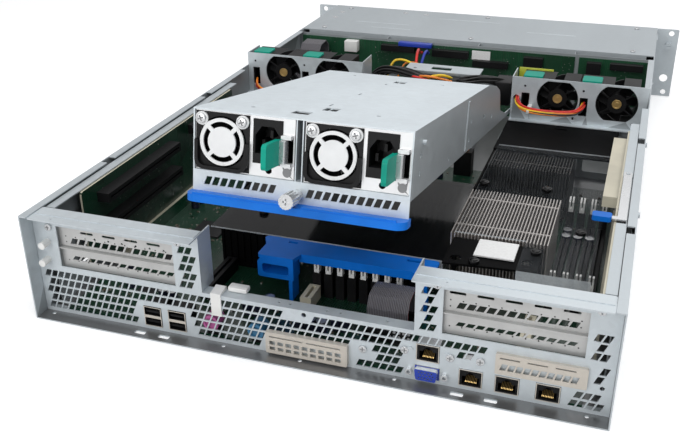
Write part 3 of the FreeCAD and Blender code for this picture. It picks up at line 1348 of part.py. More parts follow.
def backplane_boards():
    y = bay_rear_y - board_thickness
    main = plate("y", y, board_thickness, rect(-209.0, carrier_area_left + column_width * carrier_columns,
                                               sheet + 3.0, top_z - 4.0),
                 [rect(x, x + 26.0, 20.0, 44.0, 2.0) for x in (-110.0, -50.0, 20.0, 78.0)])
    side = plate("y", y, board_thickness, rect(panel_left_x + 4.0, inside_x - 3.0, 30.0, top_z - 4.0))
    return [main, side]


def backplane_sockets():
    y = bay_rear_y - board_thickness
    places = [(-104.0, -62.0, 74.0, 81.0), (-40.0, 4.0, 72.0, 80.0), (10.0, 52.0, 64.0, 71.0),
              (70.0, 92.0, 60.0, 80.0), (142.0, 158.0, 58.0, 80.0), (168.0, 204.0, 74.0, 81.0)]
    return [box(a, b, y - 8.0, y, c, d) for a, b, c, d in places]


# ================================ ribbon cables and small plastic pieces =================================

def ribbon(x0, width, points, thickness=1.3):
    """Flat cable: a strip of constant thickness bent along points (y, z), extruded across."""
    upper, lower = [], []
    count = len(points)
    for i, (y, z) in enumerate(points):
        ya, za = points[max(i - 1, 0)]
        yb, zb = points[min(i + 1, count - 1)]
        length = math.hypot(yb - ya, zb - za)
        ny, nz = -(zb - za) / length, (yb - ya) / length
        half = thickness / 2
        radius = 0.0 if i in (0, count - 1) else 3.0
        upper.append((y + ny * half, z + nz * half, radius))
        lower.append((y - ny * half, z - nz * half, radius))
    return plate("x", x0, width, upper + lower[::-1])


def ribbon_cables():
    plug_top = board_top_z + 8.0
    b, d = board_front_y, bay_rear_y
    rear = ribbon(37.0, 31.0, [(50.0, plug_top), (51.0, 28.0), (56.0, 36.0), (66.0, 37.0),
                               (77.0, 35.5), (80.5, 27.0), (81.0, plug_top)])
    front = ribbon(-197.0, 25.0, [(b - 8.0, plug_top), (b - 6.0, 22.0), (b + 6.0, 30.0),
                                  (b + 38.0, 24.0), (b + 78.0, 12.0), (d - 70.0, 12.0),
                                  (d - 59.0, 40.0), (d - 51.0, 68.0), (d - 35.0, 82.0),
                                  (d - 17.0, 83.0), (d - 9.0, 76.0), (d - 8.0, 66.0)])
    plugs = [box(36.0, 69.0, y - 3.5, y + 3.5, board_top_z, plug_top) for y in (50.0, 81.0)]
    plugs.append(box(-198.0, -171.0, b - 11.5, b - 4.5, board_top_z, plug_top))
    plugs.append(box(-198.0, -171.0, d - 11.5, d - board_thickness, 58.0, 66.0))
    return [rear, front, *plugs]


def plastic_posts():
    """White clips on the rear panel and on the left bay."""
    latch = plate("x", -69.0, 8.0, [(panel_y - 1.0, 24.0), (panel_y - 1.0, 42.4, 1.0),
                                    (panel_y + 10.0, 44.4, 1.0), (panel_y + 10.0, bay_floor_z),
                                    (panel_y, bay_floor_z), (panel_y, 24.0)])
    posts = [rod(x, panel_y, z, (0, -1, 0), 2.8, 8.0) for x, z in ((-203.0, 62.0), (-205.0, 47.0))]
    return [latch, *posts]


# ================================ main =============================================================

def save_fans():
    for number, x in enumerate(fan_centres, start=1):
        save("fan_%d_housing" % number, fan_housing(x))
        save("fan_%d_rotor" % number, fan_rotor(x))


def save_power_supplies():
    for side, m in psu_centres.items():
        save("psu_%s_case" % side, psu_case(m))
        save("psu_%s_fittings" % side, psu_fittings(m))
        save("psu_%s_rotor" % side, psu_rotor(m))
        save("psu_%s_latch" % side, psu_latch(m))


def save_carriers():
    places = [(0, 0), (1, 0), (2, 0), (1, 1), (2, 1)]
    for number, (column, row) in enumerate(places, start=1):
        save("drive_carrier_%d" % number, drive_carrier(column, row))


def main():
    os.makedirs("parts", exist_ok=True)
    save("chassis_tray", chassis_tray())
    save("cover_rails", *cover_rails())
    save("rear_panel", rear_panel())
    save("left_riser_bay", left_riser_bay())
    save("right_riser_bay", right_riser_bay())
    save("slot_covers", *slot_covers())
    save("vent_covers", *vent_covers())
    save("port_shells", *port_shells())
    save("port_inserts", *port_inserts())
    save("rear_ports", *video_port(), *mouse_ports())
    save("system_board", system_board())
    save("memory_sockets", *memory_sockets())
    save("memory_latches", *memory_latches())
    save("heat_sinks", *heat_sinks())
    save("air_duct", *air_duct())
    save("duct_window", *duct_window())
    save("blue_guide", blue_guide())
    save("board_sockets", *board_sockets())
    save("riser_boards", *riser_boards(), *riser_feet())
    save("riser_slots", *left_riser_slots(), *right_riser_slots())
    save("retaining_lever", fuse(retaining_lever(), lever_grip()))
    save("fan_walls", *fan_walls())
    save_fans()
    save("cage_hinge_brackets", *cage_hinge_brackets())
    save("psu_cage", psu_cage())
    save("cage_handle", cage_handle())
    save("cage_thumbscrew", cage_thumbscrew())
    save_power_supplies()
    save("centre_bracket", centre_bracket())
    save("power_connectors", *power_sockets(), *harness_plugs(), fan_wire_plug())
    save("power_harness", *power_harness())
    save("fan_wires", fan_wires())
    save("front_cover", front_cover())
    save("rack_ears", *rack_ears())
    save("drive_bay", drive_bay())
    save_carriers()
    save("control_panel", control_panel(), media_panel())
    save("power_button", power_button())
    save("backplane_boards", *backplane_boards())
    save("backplane_sockets", *backplane_sockets())
    save("ribbon_cables", *ribbon_cables())
    save("plastic_posts", *plastic_posts())


main()
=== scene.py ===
import math
import random

import bpy
from bpy.props import FloatProperty, FloatVectorProperty, IntProperty, PointerProperty
from mathutils import Matrix, Vector


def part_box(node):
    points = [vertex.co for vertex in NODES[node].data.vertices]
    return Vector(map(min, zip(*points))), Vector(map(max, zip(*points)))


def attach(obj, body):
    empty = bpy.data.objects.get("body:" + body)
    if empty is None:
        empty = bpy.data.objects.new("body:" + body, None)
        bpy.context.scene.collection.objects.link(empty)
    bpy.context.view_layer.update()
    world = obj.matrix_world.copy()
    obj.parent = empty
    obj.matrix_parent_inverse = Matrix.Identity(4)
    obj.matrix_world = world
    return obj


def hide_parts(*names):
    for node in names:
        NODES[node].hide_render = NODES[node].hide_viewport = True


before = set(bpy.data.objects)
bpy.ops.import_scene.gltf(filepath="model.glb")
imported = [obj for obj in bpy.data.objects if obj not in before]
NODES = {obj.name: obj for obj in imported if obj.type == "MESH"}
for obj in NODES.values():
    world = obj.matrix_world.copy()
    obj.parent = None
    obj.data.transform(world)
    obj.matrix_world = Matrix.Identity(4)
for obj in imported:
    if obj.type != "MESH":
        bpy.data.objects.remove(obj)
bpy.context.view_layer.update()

bl_info = {
    "name": "Rack server dressing",
    "version": (1, 0, 0),
    "blender": (4, 5, 0),
    "location": "View3D > Sidebar > Server",
    "description": "Finishes, board parts, leads and stage for an open rack server",
    "category": "Object",
}

REAR_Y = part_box("chassis_tray")[0].y       # rear edge of the chassis
HINGE_Y = 0.141                            # axis of the power supply cage
HINGE_Z = 0.0395
CAGE_TILT = math.radians(10.9)             # of the cage at rest
MM = 0.001
BOARD_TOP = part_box("system_board")[1].z


def at(x, y, z):
    """Point from millimetres across, forward from the rear edge and up from the floor."""
    return Vector((x * MM, REAR_Y + y * MM, z * MM))


def raised(point):
    """Point of the closed cage in its raised place."""
    y, z = point.y - HINGE_Y, point.z - HINGE_Z
    c, s = math.cos(CAGE_TILT), math.sin(CAGE_TILT)
    return Vector((point.x, HINGE_Y + y * c + z * s, HINGE_Z - y * s + z * c))


def lowered(point):
    """Point of the raised cage in millimetres of the closed one: across, forward, up."""
    y, z = point.y - HINGE_Y, point.z - HINGE_Z
    c, s = math.cos(CAGE_TILT), math.sin(CAGE_TILT)
    return Vector((point.x / MM, (HINGE_Y + y * c - z * s - REAR_Y) / MM,
                   (HINGE_Z + y * s + z * c) / MM))


def on_board(x, y):
    """Point on the system board, from millimetres across and forward."""
    return Vector((x * MM, REAR_Y + y * MM, BOARD_TOP))


def upright(point):
    """Point in millimetres across, forward from the rear edge and up."""
    return Vector((point.x / MM, (point.y - REAR_Y) / MM, point.z / MM))


# ---------------------------------------------------------------- settings

def colour(name, text, value):
    return FloatVectorProperty(name=name, description=text, default=value, size=3, min=0, max=1,
                               subtype="COLOR")


def length(name, text, value):
    return FloatProperty(name=name, description=text, default=value, min=0, unit="LENGTH",
                         subtype="DISTANCE")


def power(name, text, value):
    return FloatProperty(name=name, description=text, default=value, min=0, unit="POWER")


class ServerColours(bpy.types.PropertyGroup):
    """Colours of the sheet metal, mouldings and leads."""
    zinc: colour("Zinc", "Zinc coated sheet", (0.525, 0.57, 0.595))
    bright: colour("Bright steel", "Plated shells and rails", (0.66, 0.67, 0.68))
    fins: colour("Fins", "Heat sink fins", (0.46, 0.43, 0.41))
    duct: colour("Duct", "Black mouldings", (0.0055, 0.0055, 0.006))
    blue: colour("Blue", "Cage grip and air guide", (0.002, 0.150, 0.62))
    green: colour("Green", "Grips of what may be pulled out", (0.0, 0.30, 0.215))
    # solder resist darkened further as painted shade of the server's inside
    board: colour("Board", "Solder resist, darkened as painted shade", (0.0035, 0.021, 0.011))
    cream: colour("Cream", "Card and memory sockets", (0.60, 0.56, 0.44))
    beige: colour("Beige", "Pressed vent covers", (0.62, 0.575, 0.51))
    lime: colour("Lime", "Card guide beside the fans", (0.46, 0.50, 0.03))
    white: colour("White", "Nylon clips and labels", (0.78, 0.78, 0.76))
    brass: colour("Brass", "Fan bearings", (0.62, 0.42, 0.16))
    lead_red: colour("Red lead", "Fan supply lead", (0.55, 0.02, 0.015))
    lead_yellow: colour("Yellow lead", "Sensor lead", (0.75, 0.48, 0.02))
    lead_orange: colour("Orange lead", "Supply lead", (0.70, 0.20, 0.02))
    lead_black: colour("Black lead", "Return lead", (0.012, 0.012, 0.012))


class ServerSizes(bpy.types.PropertyGroup):
    """Sizes of the small parts and of the stage."""
    screw_radius: length("Screw head", "Radius of a cover screw's head", 0.0029)
    capacitor_radius: length("Capacitor", "Radius of a board capacitor", 0.0041)
    strand_radius: length("Lead", "Radius of one insulated lead", 0.0011)
    floor_size: length("Floor", "Width of the floor", 9.0)
    scatter: IntProperty(name="Small parts", description="Number of small parts on the board",
                         default=420, min=0, max=2000)
    key_power: power("Key light", "Power of the lamp overhead", 26.0)
    rear_power: power("Rear light", "Power of the lamp behind the server", 21.0)
    far_power: power("Far light", "Power of the lamp beyond its front", 10.0)


def colours():
    return bpy.context.scene.server_colours


def sizes():
    return bpy.context.scene.server_sizes


# ---------------------------------------------------------------- shader building

class Value:
    """A number in a shader; arithmetic on it adds Math nodes."""

    def __init__(self, finish, socket):
        self.finish = finish
        self.socket = socket

    def _maths(self, operation, first, second):
        return self.finish.node("ShaderNodeMath", {"operation": operation}, {0: first, 1: second})

    def __add__(self, other):
        return self._maths("ADD", self, other)

    def __sub__(self, other):
        return self._maths("SUBTRACT", self, other)

    def __rsub__(self, other):
        return self._maths("SUBTRACT", other, self)

    def __mul__(self, other):
        return self._maths("MULTIPLY", self, other)

    def __truediv__(self, other):
        return self._maths("DIVIDE", self, other)

    def __lt__(self, other):
        return self._maths("LESS_THAN", self, other)

    def __gt__(self, other):
        return self._maths("GREATER_THAN", self, other)

    def size(self):
        return self.finish.node("ShaderNodeMath", {"operation": "ABSOLUTE"}, {0: self})

    def wrapped(self, period):
        return self._maths("FLOORED_MODULO", self, period)


class Finish:
    """One procedural material on a Principled shader."""

    def __init__(self, name, **fixed):
        self.material = bpy.data.materials.new(name)
        self.material.use_nodes = True
        self.tree = self.material.node_tree
        self.shader = self.tree.nodes["Principled BSDF"]
        for socket, value in fixed.items():
            self.set(socket.replace("_", " "), value)

    def put(self, socket, value):
        if isinstance(value, Value):
            self.tree.links.new(value.socket, socket)
        elif hasattr(value, "__len__") and len(value) == 3 and socket.type == "RGBA":
            socket.default_value = (*value, 1.0)
        else:
            socket.default_value = value

    def set(self, name, value):
        self.put(self.shader.inputs[name], value)

    def node(self, kind, settings=None, inputs=None, output=0):
        """Adds a node, sets what it is, then its sockets, and gives one of its outputs."""
        made = self.tree.nodes.new(kind)
        for name, value in (settings or {}).items():
            setattr(made, name, value)
        for name, value in (inputs or {}).items():
            self.put(made.inputs[name], value)
        return Value(self, made.outputs[output])

    def place(self, stretch=(1, 1, 1), turn=(0, 0, 0)):
        point = self.node("ShaderNodeTexCoord", output="Object")
        return self.node("ShaderNodeMapping", None,
                         {"Vector": point, "Scale": stretch, "Rotation": turn})

    def noise(self, scale, detail=3.0, rough=0.5, where=None):
        return self.node("ShaderNodeTexNoise", None,
                         {"Vector": where or self.place(), "Scale": scale, "Detail": detail,
                          "Roughness": rough})

    def cells(self, scale, where=None, output="Color"):
        return self.node("ShaderNodeTexVoronoi", None,
                         {"Vector": where or self.place(), "Scale": scale}, output)

    def tracks(self, offset, scale, width, run, row, turn):
        """Thin pale lines that run in rows, with gaps, as copper tracks do."""
        return self.node("ShaderNodeTexBrick", {"offset": offset, "squash": 1.0},
                         {"Vector": self.place(turn=(0, 0, turn)), "Color1": (0.0,) * 3,
                          "Color2": (0.35,) * 3, "Mortar": (1.0,) * 3, "Scale": scale,
                          "Mortar Size": width, "Brick Width": run, "Row Height": row})

    def grey(self, tone):
        return self.node("ShaderNodeRGBToBW", None, {0: tone})

    def span(self, factor, low, high, to_low=0.0, to_high=1.0):
        return self.node("ShaderNodeMapRange", None,
                         {0: factor, 1: low, 2: high, 3: to_low, 4: to_high})

    def mix(self, factor, first, second):
        sockets = {0: factor, 6: first, 7: second}
        return self.node("ShaderNodeMix", {"data_type": "RGBA"}, sockets, 2)

    def axis(self, name):
        return self.node("ShaderNodeSeparateXYZ", None,
                         {0: self.node("ShaderNodeTexCoord", output="Object")}, name)

    def bump(self, height, distance, strength=1.0):
        self.set("Normal", self.node("ShaderNodeBump", None,
                                     {"Strength": strength, "Distance": distance,
                                      "Height": height}))


def shade(tone, factor):
    return tuple(min(1.0, c * factor) for c in tone)


def sheet_zinc(name, tone, rough=0.40):
    """Zinc coated steel: faint crystals, rolling marks and soft clouds."""
    f = Finish(name, Metallic=0.45)
    crystal = f.grey(f.cells(230.0))
    cloud = f.noise(9.0, 4.0)
    rolled = f.noise(38.0, 2.0, where=f.place((1.0, 0.06, 1.0)))
    light = crystal * 0.10 + cloud * 0.22 + rolled * 0.12
    f.set("Base Color", f.mix(f.span(light, 0.10, 0.34), shade(tone, 0.90), shade(tone, 1.08)))
    f.set("Roughness", f.span(crystal * 0.5 + cloud * 0.5, 0.2, 0.8, rough - 0.05, rough + 0.10))
    f.bump(f.noise(900.0, 2.0) * 0.6 + crystal * 0.4, 0.00005)
    return f.material


def plated(name, tone, rough=0.24):
    """Bright plating with fine drawn lines."""
    f = Finish(name, Metallic=0.7)
    drawn = f.noise(700.0, 2.0, where=f.place((0.3, 1.0, 1.0)))
    cloud = f.noise(40.0, 3.0)
    f.set("Base Color", f.mix(drawn * 0.3 + cloud * 0.5, shade(tone, 0.94), shade(tone, 1.05)))
    f.set("Roughness", f.span(cloud, 0.3, 0.7, rough - 0.03, rough + 0.07))
    f.bump(drawn, 0.000004)
    return f.material


def moulding(name, tone, rough=0.42, grain=1400.0, coat=0.0, shine=0.5):
    """Moulded plastic: fine spark-eroded grain, flow clouds and handling marks."""
    f = Finish(name, Coat_Weight=coat, Coat_Roughness=0.12, Specular_IOR_Level=shine)
    cloud = f.noise(22.0, 3.0)
    fine = f.noise(grain, 2.0)
    f.set("Base Color", f.mix(f.span(cloud, 0.3, 0.7), shade(tone, 0.82), shade(tone, 1.15)))
    f.set("Roughness", f.span(fine * 0.4 + cloud * 0.6, 0.3, 0.7, rough - 0.08, rough + 0.1))
    f.bump(fine, 0.00004)
    return f.material


def clear_sheet(name, tone, least, most):
    """Clear polycarbonate, or a dark, near opaque sheet that paints a shadow: haze and scratches
    take it from least to most opaque.
    """
    f = Finish(name, IOR=1.3)
    haze = f.noise(30.0, 4.0)
    scratch = f.noise(700.0, 1.0, where=f.place((1.0, 0.03, 1.0)))
    f.set("Base Color", f.mix(haze, shade(tone, 0.8), tone))
    f.set("Alpha", f.span(haze * 0.6 + scratch * 0.4, 0.35, 0.75, least, most))
    f.set("Roughness", f.span(scratch, 0.3, 0.8, 0.04, 0.18))
    return f.material


def dotted(name, tone, dot, pitch, radius, rows):
    """Sheet with small round marks in rows: across by pitch, and at the heights of rows."""
    f = Finish(name, Metallic=0.4, Roughness=0.42)
    across = (f.axis("X") / pitch).wrapped(1.0) - 0.5
    apart = across * across
    mark = None
    for height in rows:
        rise = (f.axis("Z") - height * MM) / pitch
        spot = (apart + rise * rise) < (radius / pitch) ** 2
        mark = spot if mark is None else mark + spot
    cloud = f.noise(60.0, 4.0)
    sheet = f.mix(f.span(cloud, 0.3, 0.7), shade(tone, 0.92), shade(tone, 1.06))
    f.set("Base Color", f.mix(mark, sheet, dot))
    f.bump(f.noise(900.0, 2.0), 0.00003)
    return f.material


GUARD_EAR = 14.6                           # from the fan's middle to a screw ear, both ways
GUARD_RING = 16.0                          # outer radius of the guard's largest ring
EAR_RADIUS = 4.6
FAN_ASIDE = -15.5                          # of a power module's fan from its middle
BLACK = (0.008, 0.008, 0.008)


def guard(name, tone, middle_x, middle_z):
    """White fan guard: what joins its ring to its two screw ears is black, as it lies behind."""
    f = Finish(name, Roughness=0.38)
    c, s = math.cos(CAGE_TILT), math.sin(CAGE_TILT)
    across = f.axis("X") / MM - middle_x
    rise = (f.axis("Y") - HINGE_Y) * (s / MM) + (f.axis("Z") - HINGE_Z) * (c / MM)
    rise = rise + (HINGE_Z / MM - middle_z)
    beyond_ring = (across * across + rise * rise) > GUARD_RING ** 2
    side = across.size() - GUARD_EAR
    high = rise - GUARD_EAR
    beyond_ear = (side * side + high * high) > EAR_RADIUS ** 2
    worn = f.noise(90.0, 4.0)
    white = f.mix(f.span(worn, 0.3, 0.7), shade(tone, 0.93), tone)
    f.set("Base Color", f.mix(beyond_ring * beyond_ear, white, BLACK))
    f.bump(f.noise(800.0, 2.0), 0.00002)
    return f.material


def printed_board(name, tone):
    """Circuit board: solder resist over copper tracks, vias and pale pads."""
    f = Finish(name, Coat_Weight=0.25, Coat_Roughness=0.2)
    where = f.place()
    zone = f.cells(28.0, where)
    across = f.tracks(0.37, 90.0, 0.018, 1.7, 0.12, 0.0)
    along = f.tracks(0.61, 75.0, 0.02, 1.3, 0.15, math.pi / 2)
    track = f.mix(f.grey(zone) > 0.5, across, along)
    lit = f.grey(track)
    via = f.cells(420.0, where, "Distance") < 0.10
    ground = f.mix(f.span(f.noise(14.0), 0.35, 0.65), shade(tone, 0.75), shade(tone, 1.25))
    copper = f.mix(lit * 0.8, ground, shade(tone, 2.6))
    pads = f.cells(310.0, f.place((1.0, 0.55, 1.0)), "Distance") < 0.13
    scatter = f.grey(f.cells(36.0, where)) > 0.56
    f.set("Base Color", f.mix(pads * scatter, f.mix(via * 0.5, copper, (0.20, 0.18, 0.11)),
                              (0.30, 0.30, 0.28)))
    f.set("Roughness", 0.32 - lit * 0.08)
    f.bump(lit, 0.00006)
    return f.material


RIBBON_PITCH = 0.00127                     # of the leads in a flat cable


def flat_cable(name):
    """Ribbon cable: fine ribs across its width, with painted shade in the grooves between them."""
    f = Finish(name)
    across = f.axis("X") / RIBBON_PITCH
    rib = f.node("ShaderNodeMath", {"operation": "SINE"}, {0: across * 2 * math.pi})
    # darker in the grooves, lighter on the crests: painted shade and light that follow the ribs
    grey = f.mix(f.span(rib, -1.0, 0.2), (0.06, 0.057, 0.064), (0.19, 0.183, 0.20))
    f.set("Base Color", grey)
    f.set("Roughness", 0.5)
    f.bump(rib, 0.0003)
    return f.material


def insulated(name, tone):
    """Lead insulation with a slight sheen and dust."""
    f = Finish(name)
    dust = f.noise(120.0, 3.0)
    f.set("Base Color", f.mix(f.span(dust, 0.4, 0.75), tone, shade(tone, 1.5)))
    f.set("Roughness", f.span(dust, 0.3, 0.7, 0.32, 0.5))
    f.bump(f.noise(700.0), 0.00004)
    return f.material


def paper(name, tone):
    """Matt self-adhesive label, left bare."""
    f = Finish(name)
    fibre = f.noise(500.0, 4.0)
    f.set("Base Color", f.mix(f.span(fibre, 0.3, 0.7), shade(tone, 0.93), shade(tone, 1.03)))
    f.set("Roughness", f.span(fibre, 0.3, 0.7, 0.5, 0.62))
    f.bump(fibre, 0.00002)
    return f.material


FINISHES = {}


def closed_box(node):
    """Lowest and highest corner of a node of the cage, in millimetres of the closed cage."""
    points = [lowered(corner.co) for corner in NODES[node].data.vertices]
    return [Vector(pick(p[i] for p in points) for i in range(3)) for pick in (min, max)]


def module_middle(side):
    """Middle of a power module: across and up, in millimetres of the closed cage."""
    low, high = closed_box("psu_%s_case" % side)
    return (low.x + high.x) / 2, (low.z + high.z) / 2


def make_finishes():
    """Makes every finish of the server, kept by its plain name."""
    c = colours()
    FINISHES.update({
        "zinc": sheet_zinc("zinc sheet", c.zinc),
        # zinc darkened to 0.62 as painted shade: inner faces of the tray's walls, low parts of the
        # rails, centre bracket and fan walls, and the drive bay, hinge brackets and carriers' sheet
        "zinc_shaded": sheet_zinc("dull zinc sheet", shade(c.zinc, 0.62), 0.46),
        # zinc brightened 1.14 times as painted light: rear panel, riser bays, upper fan walls, cage
        # and the lid's creases
        "zinc_lit": sheet_zinc("fresh zinc sheet", shade(c.zinc, 1.14), 0.40),
        # the cage's top: zinc brightened 1.30 times as painted light
        "zinc_top_lit": sheet_zinc("cage sheet", shade(c.zinc, 1.30), 0.60),
        # the cage's sides: zinc darkened as painted shade
        "zinc_side_shaded": sheet_zinc("cage side sheet", shade(c.zinc, 0.84), 0.40),
        "zinc_cover": sheet_zinc("cover sheet", shade(c.zinc, 0.86), 0.52),
        "beige": sheet_zinc("beige cover", c.beige, 0.45),
        "slotted": dotted("slot cover sheet", (0.56, 0.56, 0.55), (0.03, 0.03, 0.03), 0.0084,
                          0.00055, (47.0, 62.4, 67.2, 79.2, 83.0)),
        "bright": plated("bright plating", c.bright),
        "nickel": plated("white plating", (0.74, 0.745, 0.75), 0.40),
        # steel darkened to a third: painted shade on the tray's floor and in the screws' crossed
        # recesses; also the power modules' lamp
        "steel_dark": plated("worn steel", shade(c.bright, 0.32), 0.35),
        "fins": plated("aluminium fins", shade(c.fins, 1.15), 0.42),
        "fins_dark": plated("shaded fins", shade(c.fins, 0.09), 0.5),
        "lime": moulding("lime guide", c.lime, 0.4),
        "dotted_white": dotted("perforated plug", (0.02, 0.02, 0.02), (0.75, 0.75, 0.75), 0.0036,
                               0.0011, [11.0 + 3.6 * row for row in range(4)]),
        "black": moulding("black moulding", c.duct, 0.46, shine=0.22),
        "black_matt": moulding("matt black moulding", shade(c.duct, 0.6), 0.62, shine=0.05),
        "black_gloss": moulding("gloss black moulding", c.duct, 0.26, shine=0.30),
        "blue": moulding("blue moulding", c.blue, 0.40, shine=0.22),
        "green": moulding("green moulding", c.green, 0.42, shine=0.2),
        "cream": moulding("cream socket", c.cream, 0.45),
        "white": moulding("white nylon", c.white, 0.48),
        "grey": moulding("grey moulding", (0.11, 0.11, 0.115), 0.5),
        "violet": moulding("pink jack", (0.46, 0.10, 0.30), 0.4),
        "teal": moulding("light blue jack", (0.03, 0.15, 0.28), 0.4),
        "port_blue": moulding("blue socket", (0.015, 0.05, 0.42), 0.38),
        "clear": clear_sheet("clear cover", (0.16, 0.18, 0.20), 0.02, 0.08),
        # the low cover is clear in itself; dark and near opaque here as painted shadow under the
        # cage
        "clear_shadowed": clear_sheet("smoked cover", (0.006, 0.006, 0.007), 0.80, 0.86),
        # pale, more opaque edges of the clear cover: a painted highlight
        "clear_edge_highlight": clear_sheet("edge of the clear cover", (0.74, 0.79, 0.82), 0.45, 0.70),
        "board": printed_board("circuit board", c.board),
        "board_green": printed_board("backplane board", (0.008, 0.044, 0.020)),
        "ribbon": flat_cable("ribbon cable"),
        "maroon": insulated("maroon edge", (0.16, 0.012, 0.02)),
        "red": insulated("red lead", c.lead_red),
        "yellow": insulated("yellow lead", c.lead_yellow),
        "orange": insulated("orange lead", c.lead_orange),
        "lead_black": insulated("black lead", c.lead_black),
        "lead_blue": insulated("blue lead", (0.01, 0.03, 0.30)),
        "label": paper("bare label", (0.86, 0.86, 0.85)),
        "brass": plated("brass bearing", c.brass, 0.3),
        "chip": moulding("chip resin", (0.014, 0.014, 0.015), 0.38, 2500.0),
        "sleeve": moulding("capacitor sleeve", (0.012, 0.014, 0.035), 0.3, coat=0.3),
        "ceramic": moulding("ceramic part", (0.12, 0.10, 0.075), 0.5),
    })
    for side in ("left", "right"):
        middle, height = module_middle(side)
        FINISHES["guard_" + side] = guard(side + " fan guard", (0.80, 0.81, 0.81),
                                          middle + FAN_ASIDE, height)


def finish_faces(mesh, plain, rules, view):
    """Gives each face the first finish whose rule its centre and normal meet, or the plain one."""
    mesh.materials.clear()
    for name in [plain] + [name for name, _ in rules]:
        mesh.materials.append(FINISHES[name])
    for face in mesh.polygons:
        place, normal = view(face.center), face.normal
        face.material_index = next((i + 1 for i, (_, rule) in enumerate(rules)
                                    if rule(place, normal)), 0)


def dress(node, plain, *rules, view=upright):
    """Finishes a node; its rules take places in millimetres, as view gives them."""
    finish_faces(NODES[node].data, plain, rules, view)


def dress_plain(finishes):
    """Finishes the nodes that are of one finish all over."""
    for node, finish in finishes.items():
        dress(node, finish)


# ---------------------------------------------------------------- modelling by operators

def deselect():
    for obj in bpy.context.selected_objects:
        obj.select_set(False)


def only(obj):
    deselect()
    obj.select_set(True)
    bpy.context.view_layer.objects.active = obj


def settle(obj):
    """Puts the object's place, turn and size into its mesh."""
    only(obj)
    bpy.ops.object.transform_apply(location=True, rotation=True, scale=True)
    return obj


def block(name, centre, size):
    deselect()
    bpy.ops.mesh.primitive_cube_add(size=1.0, location=centre)
    obj = bpy.context.active_object
    obj.name = name
    obj.scale = size
    return settle(obj)


def drum(name, centre, radius, depth, corners=20):
    deselect()
    bpy.ops.mesh.primitive_cylinder_add(radius=radius, depth=depth, vertices=corners,
                                        location=centre)
    obj = bpy.context.active_object
    obj.name = name
    return settle(obj)


def faces(obj, rule):
    """Selects the faces whose centre and normal meet the rule, and enters edit mode."""
    only(obj)
    bpy.ops.object.mode_set(mode="EDIT")
    bpy.ops.mesh.select_mode(type="FACE")
    bpy.ops.mesh.select_all(action="DESELECT")
    bpy.ops.object.mode_set(mode="OBJECT")
    for face in obj.data.polygons:
        face.select = bool(rule(face.center, face.normal))
    bpy.ops.object.mode_set(mode="EDIT")


def done():
    bpy.ops.object.mode_set(mode="OBJECT")


def up(_, normal):
    return normal.z > 0.9


def push(way):
    """Extrudes the selected faces along way."""
    bpy.ops.mesh.extrude_region_move(TRANSFORM_OT_translate={"value": way})


def recess(obj, rule, *steps):
    """Insets the chosen faces and pushes what is inside, once for each inset and way given."""
    faces(obj, rule)
    for inset, way in steps:
        bpy.ops.mesh.inset(thickness=inset)
        push(way)
    done()


def rounded(obj, width, segments=2, angle=40.0):
    only(obj)
    bevel = obj.modifiers.new("edges", "BEVEL")
    bevel.width = width
    bevel.segments = segments
    bevel.limit_method = "ANGLE"
    bevel.angle_limit = math.radians(angle)
    bpy.ops.object.modifier_apply(modifier=bevel.name)
    bpy.ops.object.shade_smooth_by_angle(angle=math.radians(32))
    return obj


def cut_by(obj, cutter):
    only(obj)
    cut = obj.modifiers.new("cut", "BOOLEAN")
    cut.operation = "DIFFERENCE"
    cut.solver = "EXACT"
    cut.object = cutter
    bpy.ops.object.modifier_apply(modifier=cut.name)
    bpy.data.objects.remove(cutter)
    return obj


def paint(obj, plain, *rules):
    """Finishes a new piece; its rules take places in metres."""
    finish_faces(obj.data, plain, rules, Vector)
    return obj


def copies(model, name, places, body="chassis"):
    """Copies a model to matrices, joins the copies as one piece and lets it ride on a body."""
    made = []
    for matrix in places:
        copy = model.copy()
        copy.data = model.data.copy()
        copy.data.transform(matrix)
        bpy.context.scene.collection.objects.link(copy)
        made.append(copy)
    bpy.data.objects.remove(model)
    deselect()
    for copy in made:
        copy.select_set(True)
    bpy.context.view_layer.objects.active = made[0]
    if len(made) > 1:
        bpy.ops.object.join()
    piece = bpy.context.view_layer.objects.active
    piece.name = name
    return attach(piece, body)


def turned(point, axis="Z", degrees=0.0):
    return Matrix.Translation(point) @ Matrix.Rotation(math.radians(degrees), 4, axis)


def strand(name, points, radius, finish, body="chassis"):
    """One insulated lead along a smooth line of points."""
    curve = bpy.data.curves.new(name, "CURVE")
    curve.dimensions = "3D"
    spline = curve.splines.new("NURBS")
    spline.points.add(len(points) - 1)
    for knot, point in zip(spline.points, points):
        knot.co = (*point, 1.0)
    spline.use_endpoint_u = True
    spline.order_u = 3
    curve.bevel_depth = radius
    curve.bevel_resolution = 3
    curve.use_fill_caps = True
    curve.materials.append(FINISHES[finish])
    obj = bpy.data.objects.new(name, curve)
    bpy.context.scene.collection.objects.link(obj)
    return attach(obj, body)


STRAY = 0.0004                             # most that a lead of a bundle strays from its place


def bundle(name, points, spread, radius, finishes, seed):
    """Leads laid side by side along one route: the first in its middle, the others about it."""
    dice = random.Random(seed)
    made = []
    for i, finish in enumerate(finishes):
        angle = 2 * math.pi * i / max(1, len(finishes) - 1)
        away = spread if i else 0.0
        route = []
        for k, point in enumerate(points):
            swing = angle + 0.25 * k
            wobble = Vector((math.cos(swing), 0.5 * math.sin(swing), math.sin(swing))) * away
            stray = Vector((dice.uniform(-1, 1), dice.uniform(-1, 1), dice.uniform(-1, 1)))
            route.append(point + wobble + stray * STRAY)
        made.append(strand(name + "_%d" % (i + 1), route, radius, finish))
    return made


# ---------------------------------------------------------------- operators

